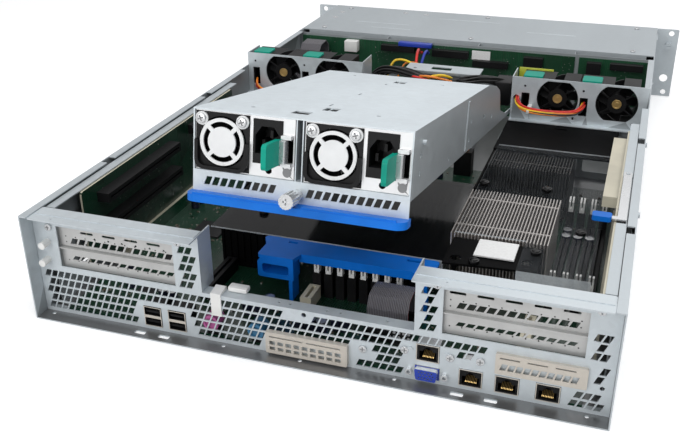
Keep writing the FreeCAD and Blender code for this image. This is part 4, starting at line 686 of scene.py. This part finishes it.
# where finishes change, in millimetres forward of the rear edge (Y) and up from the floor (Z)
FLOOR_TOP = 3.0                            # Z: all of the tray's floor lies under it
WALL_START, WALL_END, WALL_EDGE = 30.0, 540.0, 87.0    # Y, Y and Z: the side walls' inner faces
RAIL_TOP = 84.0                            # Z: top flanges of the rails and the centre bracket
GRIP_SIDE, GRIP_END = 198.0, 141.0         # across and Y: the riser lever's blue grip
FAN_WALL_FOOT = 56.0                       # Z
LOW_COVER = 43.0                           # Z: between the low and the high clear cover
SOCKET_FACE = 14.0                         # Y
VIDEO_MIDDLE, VIDEO_HALF = 92.0, 9.0       # across: the video socket's insulator
JACK_FOOT = 8.6                            # Z
CARRIER_SHEET, CARRIER_GRIP = 705.0, 715.5  # Y: end of a carrier's sheet, start of its grip
FAN_LID = 1.5                              # thickness of a fan's green top
SINK_FOOT, FAR_SINK = 10.0, 240.0          # Z and Y
CABLE_NEAR, CABLE_FAR = 100.0, 550.4       # Y: the flat cables' rear run and front plugs
CABLE_PLUG = 12.1                          # Z: top of the plug on the board

# rear panel and riser bays in the brightened zinc, hinge brackets and drive bay in the darkened
# zinc: painted light and painted shade
PLAIN_METAL = {"rear_panel": "zinc_lit", "left_riser_bay": "zinc_lit",
               "right_riser_bay": "zinc_lit", "slot_covers": "slotted", "vent_covers": "beige",
               "cage_hinge_brackets": "zinc_shaded", "cage_thumbscrew": "bright",
               "front_cover": "zinc_cover", "rack_ears": "zinc", "drive_bay": "zinc_shaded"}
PLAIN_MOULDINGS = {"air_duct": "black_matt", "blue_guide": "blue", "cage_handle": "blue",
                   "memory_sockets": "black", "memory_latches": "white", "plastic_posts": "white",
                   "control_panel": "black", "power_button": "grey", "port_inserts": "black",
                   "power_connectors": "black", "backplane_sockets": "black"}


class SERVER_OT_sheet_metal(bpy.types.Operator):
    """Finishes the chassis, panels, rails, cage and covers"""
    bl_idname = "server.sheet_metal"
    bl_label = "Sheet metal"

    def execute(self, context):
        dress("chassis_tray", "zinc",
              # the tray's floor, under the boards: painted shade
              ("steel_dark", lambda p, n: up(p, n) and p.z < FLOOR_TOP),
              # inner faces of the side walls: painted shade
              ("zinc_shaded", lambda p, n: WALL_START < p.y < WALL_END and n.x * p.x < -1.0
               and p.z < WALL_EDGE))
        dress_plain(PLAIN_METAL)
        # the rails are darker below their top flange: painted shade
        dress("cover_rails", "zinc", ("zinc_shaded", lambda p, n: p.z < RAIL_TOP))
        dress("retaining_lever", "bright",
              ("blue", lambda p, n: p.x < GRIP_SIDE and p.y < GRIP_END))
        # the fan walls are brightened zinc above their foot and darkened zinc below it: painted
        # light and painted shade
        dress("fan_walls", "zinc_lit", ("zinc_shaded", lambda p, n: p.z < FAN_WALL_FOOT))
        # the cage: its top faces are painted lit and its side faces painted shaded
        dress("psu_cage", "zinc_lit", ("zinc_top_lit", up),
              ("zinc_side_shaded", lambda p, n: abs(n.x) > 0.9), view=lowered)
        # the bracket is darker below the rail top: painted shade
        dress("centre_bracket", "zinc_shaded", ("zinc", lambda p, n: p.z > RAIL_TOP))
        return {"FINISHED"}


class SERVER_OT_mouldings(bpy.types.Operator):
    """Finishes the ducts, sockets, fans, grips and carriers"""
    bl_idname = "server.mouldings"
    bl_label = "Mouldings"

    def execute(self, context):
        dress_plain(PLAIN_MOULDINGS)
        # side faces of the covers: painted highlight
        dress("duct_window", "clear", ("clear_edge_highlight", lambda p, n: abs(n.z) < 0.5),
              # the low cover: painted shadow under the cage
              ("clear_shadowed", lambda p, n: p.z < LOW_COVER))
        dress("board_sockets", "cream", ("black", lambda p, n: p.x < -90.0))
        dress("riser_slots", "cream", ("black", lambda p, n: p.x < 0))
        dress("port_shells", "bright", ("beige", lambda p, n: n.y < -0.9 and p.y < SOCKET_FACE),
              ("black", lambda p, n: p.y > SOCKET_FACE and p.x < 0))
        dress("rear_ports", "port_blue",
              ("bright", lambda p, n: p.x > 0 and (abs(p.x - VIDEO_MIDDLE) > VIDEO_HALF
                                                   or n.y > -0.9)),
              ("black", lambda p, n: p.x < 0 and p.z < JACK_FOOT),
              ("violet", lambda p, n: p.x < -50.0),
              ("teal", lambda p, n: p.x < 0))
        for number in range(1, 6):
            # the carriers' sheet is painted in the darkened zinc as shade
            dress("drive_carrier_%d" % number, "black",
                  ("zinc_shaded", lambda p, n: p.y < CARRIER_SHEET),
                  ("grey", lambda p, n: p.y > CARRIER_GRIP))
        for number in range(1, 5):
            housing = "fan_%d_housing" % number
            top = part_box(housing)[1].z / MM
            dress(housing, "black", ("green", lambda p, n: p.z > top - FAN_LID))
            dress("fan_%d_rotor" % number, "black")
        return {"FINISHED"}


class SERVER_OT_power_modules(bpy.types.Operator):
    """Finishes the two power modules: guards, inlets and latches, with black painted as shade
    inside the side slots, on the tops under the cage's holes and inside the low holes
    """
    bl_idname = "server.power_modules"
    bl_label = "Power modules"

    def execute(self, context):
        for side in ("left", "right"):
            m, h = module_middle(side)
            top = closed_box("psu_%s_case" % side)[1].z
            dress("psu_%s_case" % side, "nickel",
                  ("guard_" + side, lambda p, n: p.y < 0.9 and p.x < m + 6.0),
                  # inside of the side slot: painted shade
                  ("black", lambda p, n: 2.0 < p.y < 27.0 and m + 29.0 < p.x < m + 34.4
                   and 57.0 < p.z < 74.5),
                  # top, seen through the cage's holes: painted shade
                  ("black", lambda p, n: p.z > top - 0.1 and p.y > 6.0),
                  # inside of the low hole: painted shade
                  ("black", lambda p, n: p.y > 1.6 and p.z < h - 13.0
                   and abs(p.x - m - 17.5) < 2.4),
                  ("steel_dark", lambda p, n: p.z < h - 11.5 and m + 27.4 < p.x < m + 33.6
                   and 0.8 < p.y < 2.5 and abs(n.y) > 0.9 and abs(p.x - m - 30.5) < 3.1
                   and abs(p.z - h + 15.4) < 3.1),
                  view=lowered)
            dress("psu_%s_fittings" % side, "black", view=lowered)
            dress("psu_%s_rotor" % side, "black")
            dress("psu_%s_latch" % side, "green", ("bright", lambda p, n: p.x > m + 28.2),
                  view=lowered)
        return {"FINISHED"}


class SERVER_OT_electronics(bpy.types.Operator):
    """Finishes the boards, heat sinks and flat cables"""
    bl_idname = "server.electronics"
    bl_label = "Boards and sinks"

    def execute(self, context):
        # the board's resist colour holds painted shade
        dress("system_board", "board")
        dress("riser_boards", "board", ("cream", lambda p, n: n.z > 0.8 or n.y < -0.9))
        dress("backplane_boards", "board_green")
        dress("heat_sinks", "fins", ("cream", lambda p, n: p.z < SINK_FOOT),
              ("fins_dark", lambda p, n: p.y > FAR_SINK))
        dress("ribbon_cables", "ribbon",
              ("maroon", lambda p, n: p.y < CABLE_NEAR and (abs(n.x) > 0.9 or p.x > 67.2)
               or p.x < -195.7),
              ("black", lambda p, n: p.z < CABLE_PLUG or p.y > CABLE_FAR and abs(n.z) > 0.99))
        return {"FINISHED"}


CAPACITOR_HEIGHT = 0.0105
# can capacitors: across and forward on the board
CAPACITORS = [(-60, 52), (-52, 52), (-46, 64), (-14, 44), (-5, 44), (4, 44), (12, 52), (20, 52),
              (62, 92), (70, 92), (-176, 66), (-176, 76), (-166, 60), (-130, 48), (-122, 48),
              (-186, 210), (-186, 222), (-120, 200), (-120, 211), (-120, 222), (-140, 340),
              (-130, 340), (-118, 350), (10, 352), (20, 352), (-10, 352), (160, 240), (170, 240),
              (180, 240), (160, 252), (90, 270), (100, 270), (110, 270), (120, 270), (130, 270)]
# chips: across, forward, width, depth and height
CHIPS = [(-150, 170, 27, 27, 2.2), (-72, 70, 9, 9, 1.4), (-82, 50, 12, 8, 1.4),
         (-158, 110, 14, 14, 1.6), (-176, 130, 9, 12, 1.5), (-150, 60, 15, 15, 1.6),
         (40, 40, 10, 7, 1.4), (-20, 60, 8, 6, 1.3), (10, 68, 12, 9, 1.4), (60, 48, 7, 7, 1.3),
         (-178, 300, 18, 18, 1.8), (-160, 350, 10, 8, 1.4), (30, 300, 26, 26, 2.0),
         (-60, 310, 15, 15, 1.6), (172, 270, 12, 12, 1.5), (140, 50, 12, 12, 1.4),
         (115, 46, 8, 8, 1.3), (-100, 300, 12, 12, 1.5)]


class SERVER_OT_capacitors(bpy.types.Operator):
    """Models a can capacitor and stands copies on the system board"""
    bl_idname = "server.capacitors"
    bl_label = "Capacitors"

    def execute(self, context):
        radius, tall = sizes().capacitor_radius, CAPACITOR_HEIGHT
        can = drum("can", (0, 0, tall / 2), radius, tall, 18)
        recess(can, up, (0.0006, (0, 0, -0.0003)))
        faces(can, lambda c, n: abs(n.z) < 0.2)
        bpy.ops.mesh.subdivide(number_cuts=1)
        done()
        rounded(can, 0.0004, 1, 60)
        paint(can, "sleeve", ("bright", up))
        copies(can, "board_capacitors", [turned(on_board(x, y)) for x, y in CAPACITORS])
        return {"FINISHED"}


class SERVER_OT_chips(bpy.types.Operator):
    """Models the chip packages, each in its own size, on the system board"""
    bl_idname = "server.chips"
    bl_label = "Chips"

    def execute(self, context):
        for number, (x, y, width, depth, tall) in enumerate(CHIPS):
            centre = on_board(x, y) + Vector((0, 0, tall * MM / 2))
            chip = block("board_chip_%02d" % (number + 1), centre,
                         (width * MM, depth * MM, tall * MM))
            recess(chip, up, (0.0006, (0, 0, 0.0002)))
            rounded(chip, 0.0001, 1, 60)
            paint(chip, "chip")
            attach(chip, "chassis")
        return {"FINISHED"}


# stretches of the board that sockets, ducts and cables cover: across from, to, forward from, to
COVERED = [(-34, -21, 52, 122), (-107, -93, 56, 116), (-158, -142, 226, 324), (-114, -62, 114, 180),
           (-64, 80, 76, 118), (76, 160, 78, 370), (154, 196, 118, 230), (-206, -186, 100, 300),
           (-126, -90, 28, 34), (-52, -30, 360, 382), (30, 52, 360, 382), (34, 66, 44, 86),
           (-200, -169, 366, 382)]


def free_place(x, y, taken):
    return all(not (x0 < x < x1 and y0 < y < y1) for x0, x1, y0, y1 in taken)


class SERVER_OT_small_parts(bpy.types.Operator):
    """Scatters resistors and ceramic parts over the free board"""
    bl_idname = "server.small_parts"
    bl_label = "Small board parts"

    def execute(self, context):
        dice = random.Random(11)
        taken = [(x - 6, x + 6, y - 6, y + 6) for x, y in CAPACITORS]
        taken += [(x - w / 2 - 1, x + w / 2 + 1, y - d / 2 - 1, y + d / 2 + 1)
                  for x, y, w, d, _ in CHIPS]
        taken += COVERED
        places = []
        while len(places) < sizes().scatter:
            x, y = dice.uniform(-190, 190), dice.uniform(36, 366)
            if free_place(x, y, taken):
                places.append(turned(on_board(x, y), "Z", dice.choice((0, 90)))
                              @ Matrix.Scale(dice.uniform(0.7, 1.6), 4))
        part = block("part", (0, 0, 0.0004), (0.0020, 0.0011, 0.0008))
        faces(part, lambda c, n: abs(n.x) > 0.9)
        bpy.ops.mesh.inset(thickness=0.0001)
        done()
        paint(part, "ceramic", ("bright", lambda c, n: abs(n.x) > 0.9))
        copies(part, "board_small_parts", places)
        return {"FINISHED"}


def screw_model(radius):
    """Pan head with a crossed recess, its seat at the origin and its head towards +Z."""
    head = drum("head", (0, 0, radius * 0.28), radius, radius * 0.56, 22)
    rounded(head, radius * 0.17, 2, 60)
    width, depth = radius * 0.27, radius * 0.4
    for size in ((radius * 1.25, width, depth), (width, radius * 1.25, depth)):
        cut_by(head, block("cross", (0, 0, radius * 0.6), size))
    floor = radius * 0.5
    # the floor of the crossed recess is painted dark steel as shade
    return paint(head, "bright", ("steel_dark", lambda c, n: c.z < floor and n.z > 0.9))


PANEL_FACE = 13                            # of the rear panel, forward of the rear edge
# screws of the rear panel: across and up
REAR_SCREWS = [(-200, 75), (-92, 79.5), (97, 79.5), (200.5, 79.5), (46, 18.8), (76, 24.6),
               (107.6, 24.6), (128, 26)]


class SERVER_OT_screws(bpy.types.Operator):
    """Models one crossed screw and sets copies in the panels, covers and fan guards"""
    bl_idname = "server.screws"
    bl_label = "Screws"

    def execute(self, context):
        radius = sizes().screw_radius
        places = [turned(at(x, PANEL_FACE, z), "X", 90) for x, z in REAR_SCREWS]
        copies(screw_model(radius), "rear_screws", places)
        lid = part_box("front_cover")
        tops = [(x, lid[0].y + 0.012) for x in (-0.19, 0.0, 0.19)]
        tops += [(x, lid[1].y - 0.014) for x in (-0.19, 0.0, 0.19)]
        copies(screw_model(radius), "cover_screws", [turned(Vector((x, y, lid[1].z)), "Z", 20)
                                                     for x, y in tops])
        lean = Matrix.Rotation(-CAGE_TILT, 4, "X") @ Matrix.Rotation(math.radians(90), 4, "X")
        for side in ("left", "right"):
            middle, height = module_middle(side)
            ears = [raised(at(middle + FAN_ASIDE + way * GUARD_EAR, -0.5, height + GUARD_EAR))
                    for way in (-1, 1)]
            copies(screw_model(radius * 1.15), "guard_screws_" + side,
                   [Matrix.Translation(ear) @ lean @ Matrix.Rotation(0.35, 4, "Z")
                    for ear in ears], "psu_" + side)
        return {"FINISHED"}


# network jacks: middle across and underside
JACKS = [(92, 18), (122, 4), (146.5, 4), (173.5, 4)]


class SERVER_OT_jack_contacts(bpy.types.Operator):
    """Models one gilt spring contact and sets eight in each network jack"""
    bl_idname = "server.jack_contacts"
    bl_label = "Jack contacts"

    def execute(self, context):
        contact = block("contact", (0, 0, 0), (0.00045, 0.0052, 0.00035))
        faces(contact, lambda c, n: n.y < -0.9)
        push((0, -0.0008, -0.0006))
        done()
        paint(contact, "brass")
        slope = Matrix.Rotation(math.radians(18), 4, "X")
        places = [Matrix.Translation(at(x - 3.57 + 1.02 * i, 18.0, z + 3.4)) @ slope
                  for x, z in JACKS for i in range(8)]
        copies(contact, "jack_contacts", places)
        return {"FINISHED"}


# seats of the pins: across, forward and up
DUCT_PINS = [(88.6, 221, 61.4), (141.3, 223, 61.4), (176, 150, 61.4), (148, 108, 61.4),
             (106.4, 88, 57.6), (-85.4, 147, 41.8)]


class SERVER_OT_duct_pins(bpy.types.Operator):
    """Models one domed pin with a slot and sets copies in the duct and its covers"""
    bl_idname = "server.duct_pins"
    bl_label = "Duct pins"

    def execute(self, context):
        pin = drum("pin", (0, 0, 0.0013), 0.0040, 0.0026, 24)
        recess(pin, up, (0.0011, (0, 0, 0.0008)))
        rounded(pin, 0.0005, 2)
        cut_by(pin, block("slot", (0, 0, 0.0036), (0.0052, 0.0007, 0.0016)))
        paint(pin, "black_gloss")
        copies(pin, "duct_pins", [turned(at(*place), "Z", 30) for place in DUCT_PINS])
        return {"FINISHED"}


# marks of the front cover: discs across and forward, creases across from, forward, across to
LID_DISCS = [(-195, 674), (-195, 644), (-111, 694), (-82, 692)]
LID_CREASES = [(-162, 632, -90), (-134, 609, -82), (-60, 676, 20), (60, 640, 120)]


class SERVER_OT_lid_marks(bpy.types.Operator):
    """Models the pressed discs and creases of the front cover"""
    bl_idname = "server.lid_marks"
    bl_label = "Marks of the front cover"

    def execute(self, context):
        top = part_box("front_cover")[1].z / MM
        disc = drum("disc", (0, 0, 0.0001), 0.0036, 0.0002, 28)
        recess(disc, up, (0.0009, (0, 0, -0.0001)))
        paint(disc, "bright")
        copies(disc, "lid_discs", [turned(at(x, y, top)) for x, y in LID_DISCS])
        for number, (x0, y, x1) in enumerate(LID_CREASES):
            crease = block("lid_crease_%d" % (number + 1), at((x0 + x1) / 2, y, top),
                           ((x1 - x0) * MM, 0.0012, 0.0002))
            rounded(crease, 0.00008, 1)
            # the crease is painted in the brightened zinc: a painted highlight along it
            paint(crease, "zinc_lit")
            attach(crease, "chassis")
        return {"FINISHED"}


# plain blocks: name, lowest and highest corner, finish and width of the rounded edge
TRIM = [("lime_guide", (82, 434.5, 58.3), (117, 435.9, 103.4), "lime", 0.4),
        ("backplane_blue_socket", (-82, 552.4, 81.4), (-41, 560.2, 86.2), "port_blue", 0.4),
        ("backplane_white_plug", (-150, 549, 70), (-134, 560.2, 83), "white", 0.4),
        ("loom_block", (56, 438, 58.2), (74, 466, 84), "black", 1.5),
        ("rear_cap", (-59, 20, 41.2), (-44, 27.5, 45.2), "white", 1.2)]


class SERVER_OT_trim(bpy.types.Operator):
    """Models the plugs, caps and guides that stand on the boards and panels"""
    bl_idname = "server.trim"
    bl_label = "Plugs and caps"

    def part(self, name, low, high, finish, edge):
        low, high = at(*low), at(*high)
        piece = block(name, (low + high) / 2, high - low)
        rounded(piece, edge * MM, 2)
        paint(piece, finish)
        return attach(piece, "chassis")

    def execute(self, context):
        for row in TRIM:
            self.part(*row)
        plug = self.part("dotted_plug", (56, 45, 5), (72, 48.4, 24), "dotted_white", 0.4)
        recess(plug, up, (0.0007, (0, 0, -0.003)))
        return {"FINISHED"}


class SERVER_OT_fan_bearings(bpy.types.Operator):
    """Models the brass bearing cap of each system fan"""
    bl_idname = "server.fan_bearings"
    bl_label = "Fan bearings"

    def execute(self, context):
        for number in range(1, 5):
            low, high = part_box("fan_%d_rotor" % number)
            centre = (low + high) / 2
            cap = drum("fan_%d_bearing" % number, (0, 0, 0), 0.0046, 0.0012, 28)
            recess(cap, up, (0.0012, (0, 0, -0.0004)), (0.0014, (0, 0, 0.0003)))
            rounded(cap, 0.0001, 1)
            cap.data.transform(turned(Vector((centre.x, low.y - 0.0004, centre.z)), "X", 90))
            paint(cap, "brass")
            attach(cap, "fan_%d_wheel" % number)
        return {"FINISHED"}


class SERVER_OT_labels(bpy.types.Operator):
    """Lays the bare labels on the duct shelf and the backplane"""
    bl_idname = "server.labels"
    bl_label = "Bare labels"

    def execute(self, context):
        top = at(0, 0, 57.6).z
        label = block("duct_label", (0.119, at(0, 110, 0).y, top + 0.0012), (0.030, 0.026, 0.0016))
        rounded(label, 0.0003, 1)
        paint(label, "label")
        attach(label, "chassis")
        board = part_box("backplane_boards")
        sticker = block("backplane_label", (0.0185, board[0].y - 0.0002, 0.076),
                        (0.022, 0.0002, 0.011))
        rounded(sticker, 0.00005, 1)
        paint(sticker, "label")
        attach(sticker, "chassis")
        return {"FINISHED"}


# routes: across, forward and up
LOOM_RIGHT = [(20, 432, 80), (18, 424, 84.5), (30, 424, 88), (44, 434, 87.5), (56, 444, 83),
              (66, 450, 76)]
LOOM_LEFT = [(-18, 432, 80), (-22, 424, 84), (-38, 430, 87), (-58, 444, 86), (-74, 452, 82),
             (-86, 456, 70), (-88, 456, 50)]
# single leads: name, finish, radius and route
FEEDS = [
    ("sensor_lead_1", "yellow", 1.3, [(-74, 470, 60), (-70, 478, 84), (-58, 482, 87),
     (-40, 474, 84), (-36, 470, 70)]),
    ("sensor_lead_2", "orange", 1.1, [(-62, 474, 60), (-58, 482, 82), (-44, 484, 84),
     (-30, 480, 80), (-24, 478, 60)]),
    ("sensor_lead_3", "yellow", 1.5, [(-18, 436, 80), (-12, 428, 86), (0, 428, 89), (8, 434, 86),
     (10, 440, 82)]),
    ("sensor_lead_4", "orange", 1.3, [(-26, 440, 82), (-26, 426, 86), (-8, 424, 88),
     (12, 430, 82)]),
    ("sensor_lead_5", "red", 1.2, [(-36, 440, 80), (-34, 428, 85), (-22, 422, 86), (-8, 430, 80)]),
    ("data_lead_red", "red", 1.6, [(-52, 552, 76), (-52, 540, 78), (-48, 520, 90), (-45, 500, 88),
     (-43, 488, 74), (-43, 486, 40)]),
    ("data_lead_blue", "lead_blue", 1.6, [(-44, 552, 76), (-42, 540, 78), (-37, 516, 90),
     (-37, 500, 88), (-38, 489, 74), (-38, 486, 40)]),
    ("fan_feed_1", "red", 1.3, [(-204, 406, 70), (-203, 398, 68), (-196, 394, 64), (-182, 394, 61),
     (-168, 397, 59.4)]),
    ("fan_feed_2", "orange", 1.1, [(-204, 406, 73), (-202, 397, 71), (-194, 392, 66),
     (-180, 392, 62), (-164, 396, 59.2)])]


class SERVER_OT_leads(bpy.types.Operator):
    """Lays the power, sensor, data and fan leads"""
    bl_idname = "server.leads"
    bl_label = "Leads"

    def execute(self, context):
        r = sizes().strand_radius
        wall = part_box("fan_walls")[0].y / MM - REAR_Y / MM + 7.0
        for side, name in ((-1, "left"), (1, "right")):
            route = [(17.0, wall + 25.0, 74.5), (17.0, wall - 1.0, 74.5), (32.0, wall - 23.0, 70.0),
                     (41.0, wall - 34.0, 52.0), (41.0, wall - 34.0, 30.0)]
            route = [at(side * x, y, z) for x, y, z in route]
            made = bundle("power_leads_" + name, route, 0.0030, r * 1.25,
                          ["lead_black"] * 5 + ["yellow", "orange", "lead_black"], 3 + side)
            if side < 0:
                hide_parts("power_harness")
        route = [(152.0, wall + 0.8, 79.0), (152.0, wall - 10.4, 78.0), (143.0, wall - 20.0, 74.0),
                 (98.0, wall - 20.0, 73.5), (85.0, wall - 10.0, 80.0), (85.0, wall + 22.0, 80.0)]
        made = bundle("fan_leads", [at(*p) for p in route], 0.0019, r * 0.8,
                      ["orange", "red", "yellow", "orange", "lead_black", "red"], 8)
        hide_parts("fan_wires")
        for name, route, seed in (("loom_right", LOOM_RIGHT, 21), ("loom_left", LOOM_LEFT, 22)):
            for row in range(3):
                shifted = [at(x + 4.0 * row, y + 3.0 * row, z - 0.8 * row) for x, y, z in route]
                bundle("%s_%d" % (name, row + 1), shifted, 0.0028, r,
                       ["lead_black", "lead_black", "yellow" if row == 1 else "lead_black",
                        "lead_black", "lead_black", "lead_black"], seed + 10 * row)
        for name, finish, radius, route in FEEDS:
            strand(name, [at(*p) for p in route], radius * MM, finish)
        self.tie(wall)
        return {"FINISHED"}

    def tie(self, wall):
        """White clip that holds the fan leads to the wall."""
        clip = block("lead_clip", at(100.0, wall - 9.0, 72.4), (0.0042, 0.017, 0.0052))
        recess(clip, lambda c, n: n.y < -0.9, (0.0008, (0, -0.004, 0.0)))
        rounded(clip, 0.0006, 2)
        paint(clip, "white")
        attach(clip, "chassis")


# soft lamps: name, place, the point they face and width, in metres
LAMPS = (("key", (0.5, -0.5, 2.2), (0.0, 0.05, 0.0), 1.7),
         ("rear", (-0.5, -2.2, 1.0), (0.0, -0.3, 0.05), 1.5),
         ("far", (0.3, 2.0, 2.0), (0.0, 0.2, 0.05), 1.8))
CAMERA_PLACE = (0.2028, -0.8347, 0.3729)
CAMERA_TURN = (63.54, 0.25, 18.51)         # degrees
CAMERA_LENS = 45.94                        # millimetres, on a 36 mm sensor
FLOOR_LIT = (0.72, 0.72, 0.72)             # the floor as it lights the server
FLOOR_SEEN = (0.95, 0.95, 0.95)            # the floor as the camera sees it
GLOW_SEEN = (0.24, 0.24, 0.24)             # what the floor glows with for the camera
GLOW_MIRRORED = (0.05, 0.05, 0.05)         # and in mirrors
ROOM_GLOW = (0.42, 0.42, 0.43)             # what the world lights the server with
MIRRORED = 0.25                            # share of the white backdrop that mirrors show


class SERVER_OT_stage(bpy.types.Operator):
    """Adds the floor, the lamps, the backdrop and the camera"""
    bl_idname = "server.stage"
    bl_label = "Stage"

    def execute(self, context):
        deselect()
        bpy.ops.mesh.primitive_plane_add(size=sizes().floor_size, location=(0, 0, -0.0002))
        floor = bpy.context.active_object
        floor.name = "floor"
        ground = Finish("floor", Roughness=0.85)
        camera_ray = ground.node("ShaderNodeLightPath", output="Is Camera Ray")
        glossy_ray = ground.node("ShaderNodeLightPath", output="Is Glossy Ray")
        ground.set("Base Color", ground.mix(camera_ray, FLOOR_LIT, FLOOR_SEEN))
        glow = ground.mix(glossy_ray, (0.0, 0.0, 0.0), GLOW_MIRRORED)
        ground.set("Emission Color", ground.mix(camera_ray, glow, GLOW_SEEN))
        ground.set("Emission Strength", 1.0)
        floor.data.materials.append(ground.material)
        self.backdrop(context.scene)
        for name, place, aim, size in LAMPS:
            self.lamp(name + " lamp", place, aim, size, getattr(sizes(), name + "_power"))
        self.camera(context.scene)
        return {"FINISHED"}

    def backdrop(self, scene):
        world = bpy.data.worlds.new("backdrop")
        scene.world = world
        world.use_nodes = True
        tree = world.node_tree
        back = tree.nodes["Background"]
        path = tree.nodes.new("ShaderNodeLightPath")
        blend = tree.nodes.new("ShaderNodeMix")
        blend.data_type = "RGBA"
        blend.inputs[6].default_value = (*ROOM_GLOW, 1.0)
        blend.inputs[7].default_value = (1.0, 1.0, 1.0, 1.0)
        rays = path.outputs
        mirrored = self.either(tree, rays["Is Glossy Ray"], rays["Is Transmission Ray"], MIRRORED)
        seen = self.either(tree, rays["Is Camera Ray"], mirrored, 1.0)
        tree.links.new(seen, blend.inputs[0])
        tree.links.new(blend.outputs[2], back.inputs["Color"])
        back.inputs["Strength"].default_value = 1.0

    def either(self, tree, first, second, weight):
        """The sum of two sockets, at most 1, times a weight."""
        add = tree.nodes.new("ShaderNodeMath")
        add.use_clamp = True
        tree.links.new(first, add.inputs[0])
        tree.links.new(second, add.inputs[1])
        scale = tree.nodes.new("ShaderNodeMath")
        scale.operation = "MULTIPLY"
        scale.inputs[1].default_value = weight
        tree.links.new(add.outputs[0], scale.inputs[0])
        return scale.outputs[0]

    def lamp(self, name, place, aim, size, power):
        light = bpy.data.lights.new(name, "AREA")
        light.shape = "SQUARE"
        light.size = size
        light.energy = power
        obj = bpy.data.objects.new(name, light)
        obj.location = place
        obj.rotation_euler = (Vector(aim) - Vector(place)).to_track_quat("-Z", "Y").to_euler()
        bpy.context.scene.collection.objects.link(obj)

    def camera(self, scene):
        lens = bpy.data.cameras.new("camera")
        lens.lens = CAMERA_LENS
        lens.sensor_width = 36.0
        lens.clip_start = 0.01
        obj = bpy.data.objects.new("camera", lens)
        obj.location = CAMERA_PLACE
        obj.rotation_euler = [math.radians(angle) for angle in CAMERA_TURN]
        scene.collection.objects.link(obj)
        scene.camera = obj


PIECES = (SERVER_OT_sheet_metal, SERVER_OT_mouldings, SERVER_OT_power_modules,
          SERVER_OT_electronics, SERVER_OT_capacitors, SERVER_OT_chips, SERVER_OT_small_parts,
          SERVER_OT_screws, SERVER_OT_jack_contacts, SERVER_OT_duct_pins, SERVER_OT_lid_marks,
          SERVER_OT_trim, SERVER_OT_fan_bearings, SERVER_OT_labels, SERVER_OT_leads,
          SERVER_OT_stage)


class SERVER_PT_panel(bpy.types.Panel):
    """Lists the server's sizes, colours and pieces"""
    bl_label = "Rack server"
    bl_idname = "SERVER_PT_panel"
    bl_space_type = "VIEW_3D"
    bl_region_type = "UI"
    bl_category = "Server"

    def draw(self, context):
        for group in (sizes(), colours()):
            box = self.layout.box()
            for name in group.bl_rna.properties.keys():
                if name not in ("name", "rna_type"):
                    box.prop(group, name)
        for piece in PIECES:
            self.layout.operator(piece.bl_idname)


CLASSES = (ServerColours, ServerSizes, *PIECES, SERVER_PT_panel)


def register():
    for made in CLASSES:
        bpy.utils.register_class(made)
    bpy.types.Scene.server_colours = PointerProperty(type=ServerColours)
    bpy.types.Scene.server_sizes = PointerProperty(type=ServerSizes)


def unregister():
    del bpy.types.Scene.server_sizes
    del bpy.types.Scene.server_colours
    for made in reversed(CLASSES):
        bpy.utils.unregister_class(made)


def main():
    register()
    bpy.context.scene.view_settings.view_transform = "Standard"
    make_finishes()
    for piece in PIECES:
        group, name = piece.bl_idname.split(".")
        getattr(getattr(bpy.ops, group), name)()


if __name__ == "__main__":
    main()
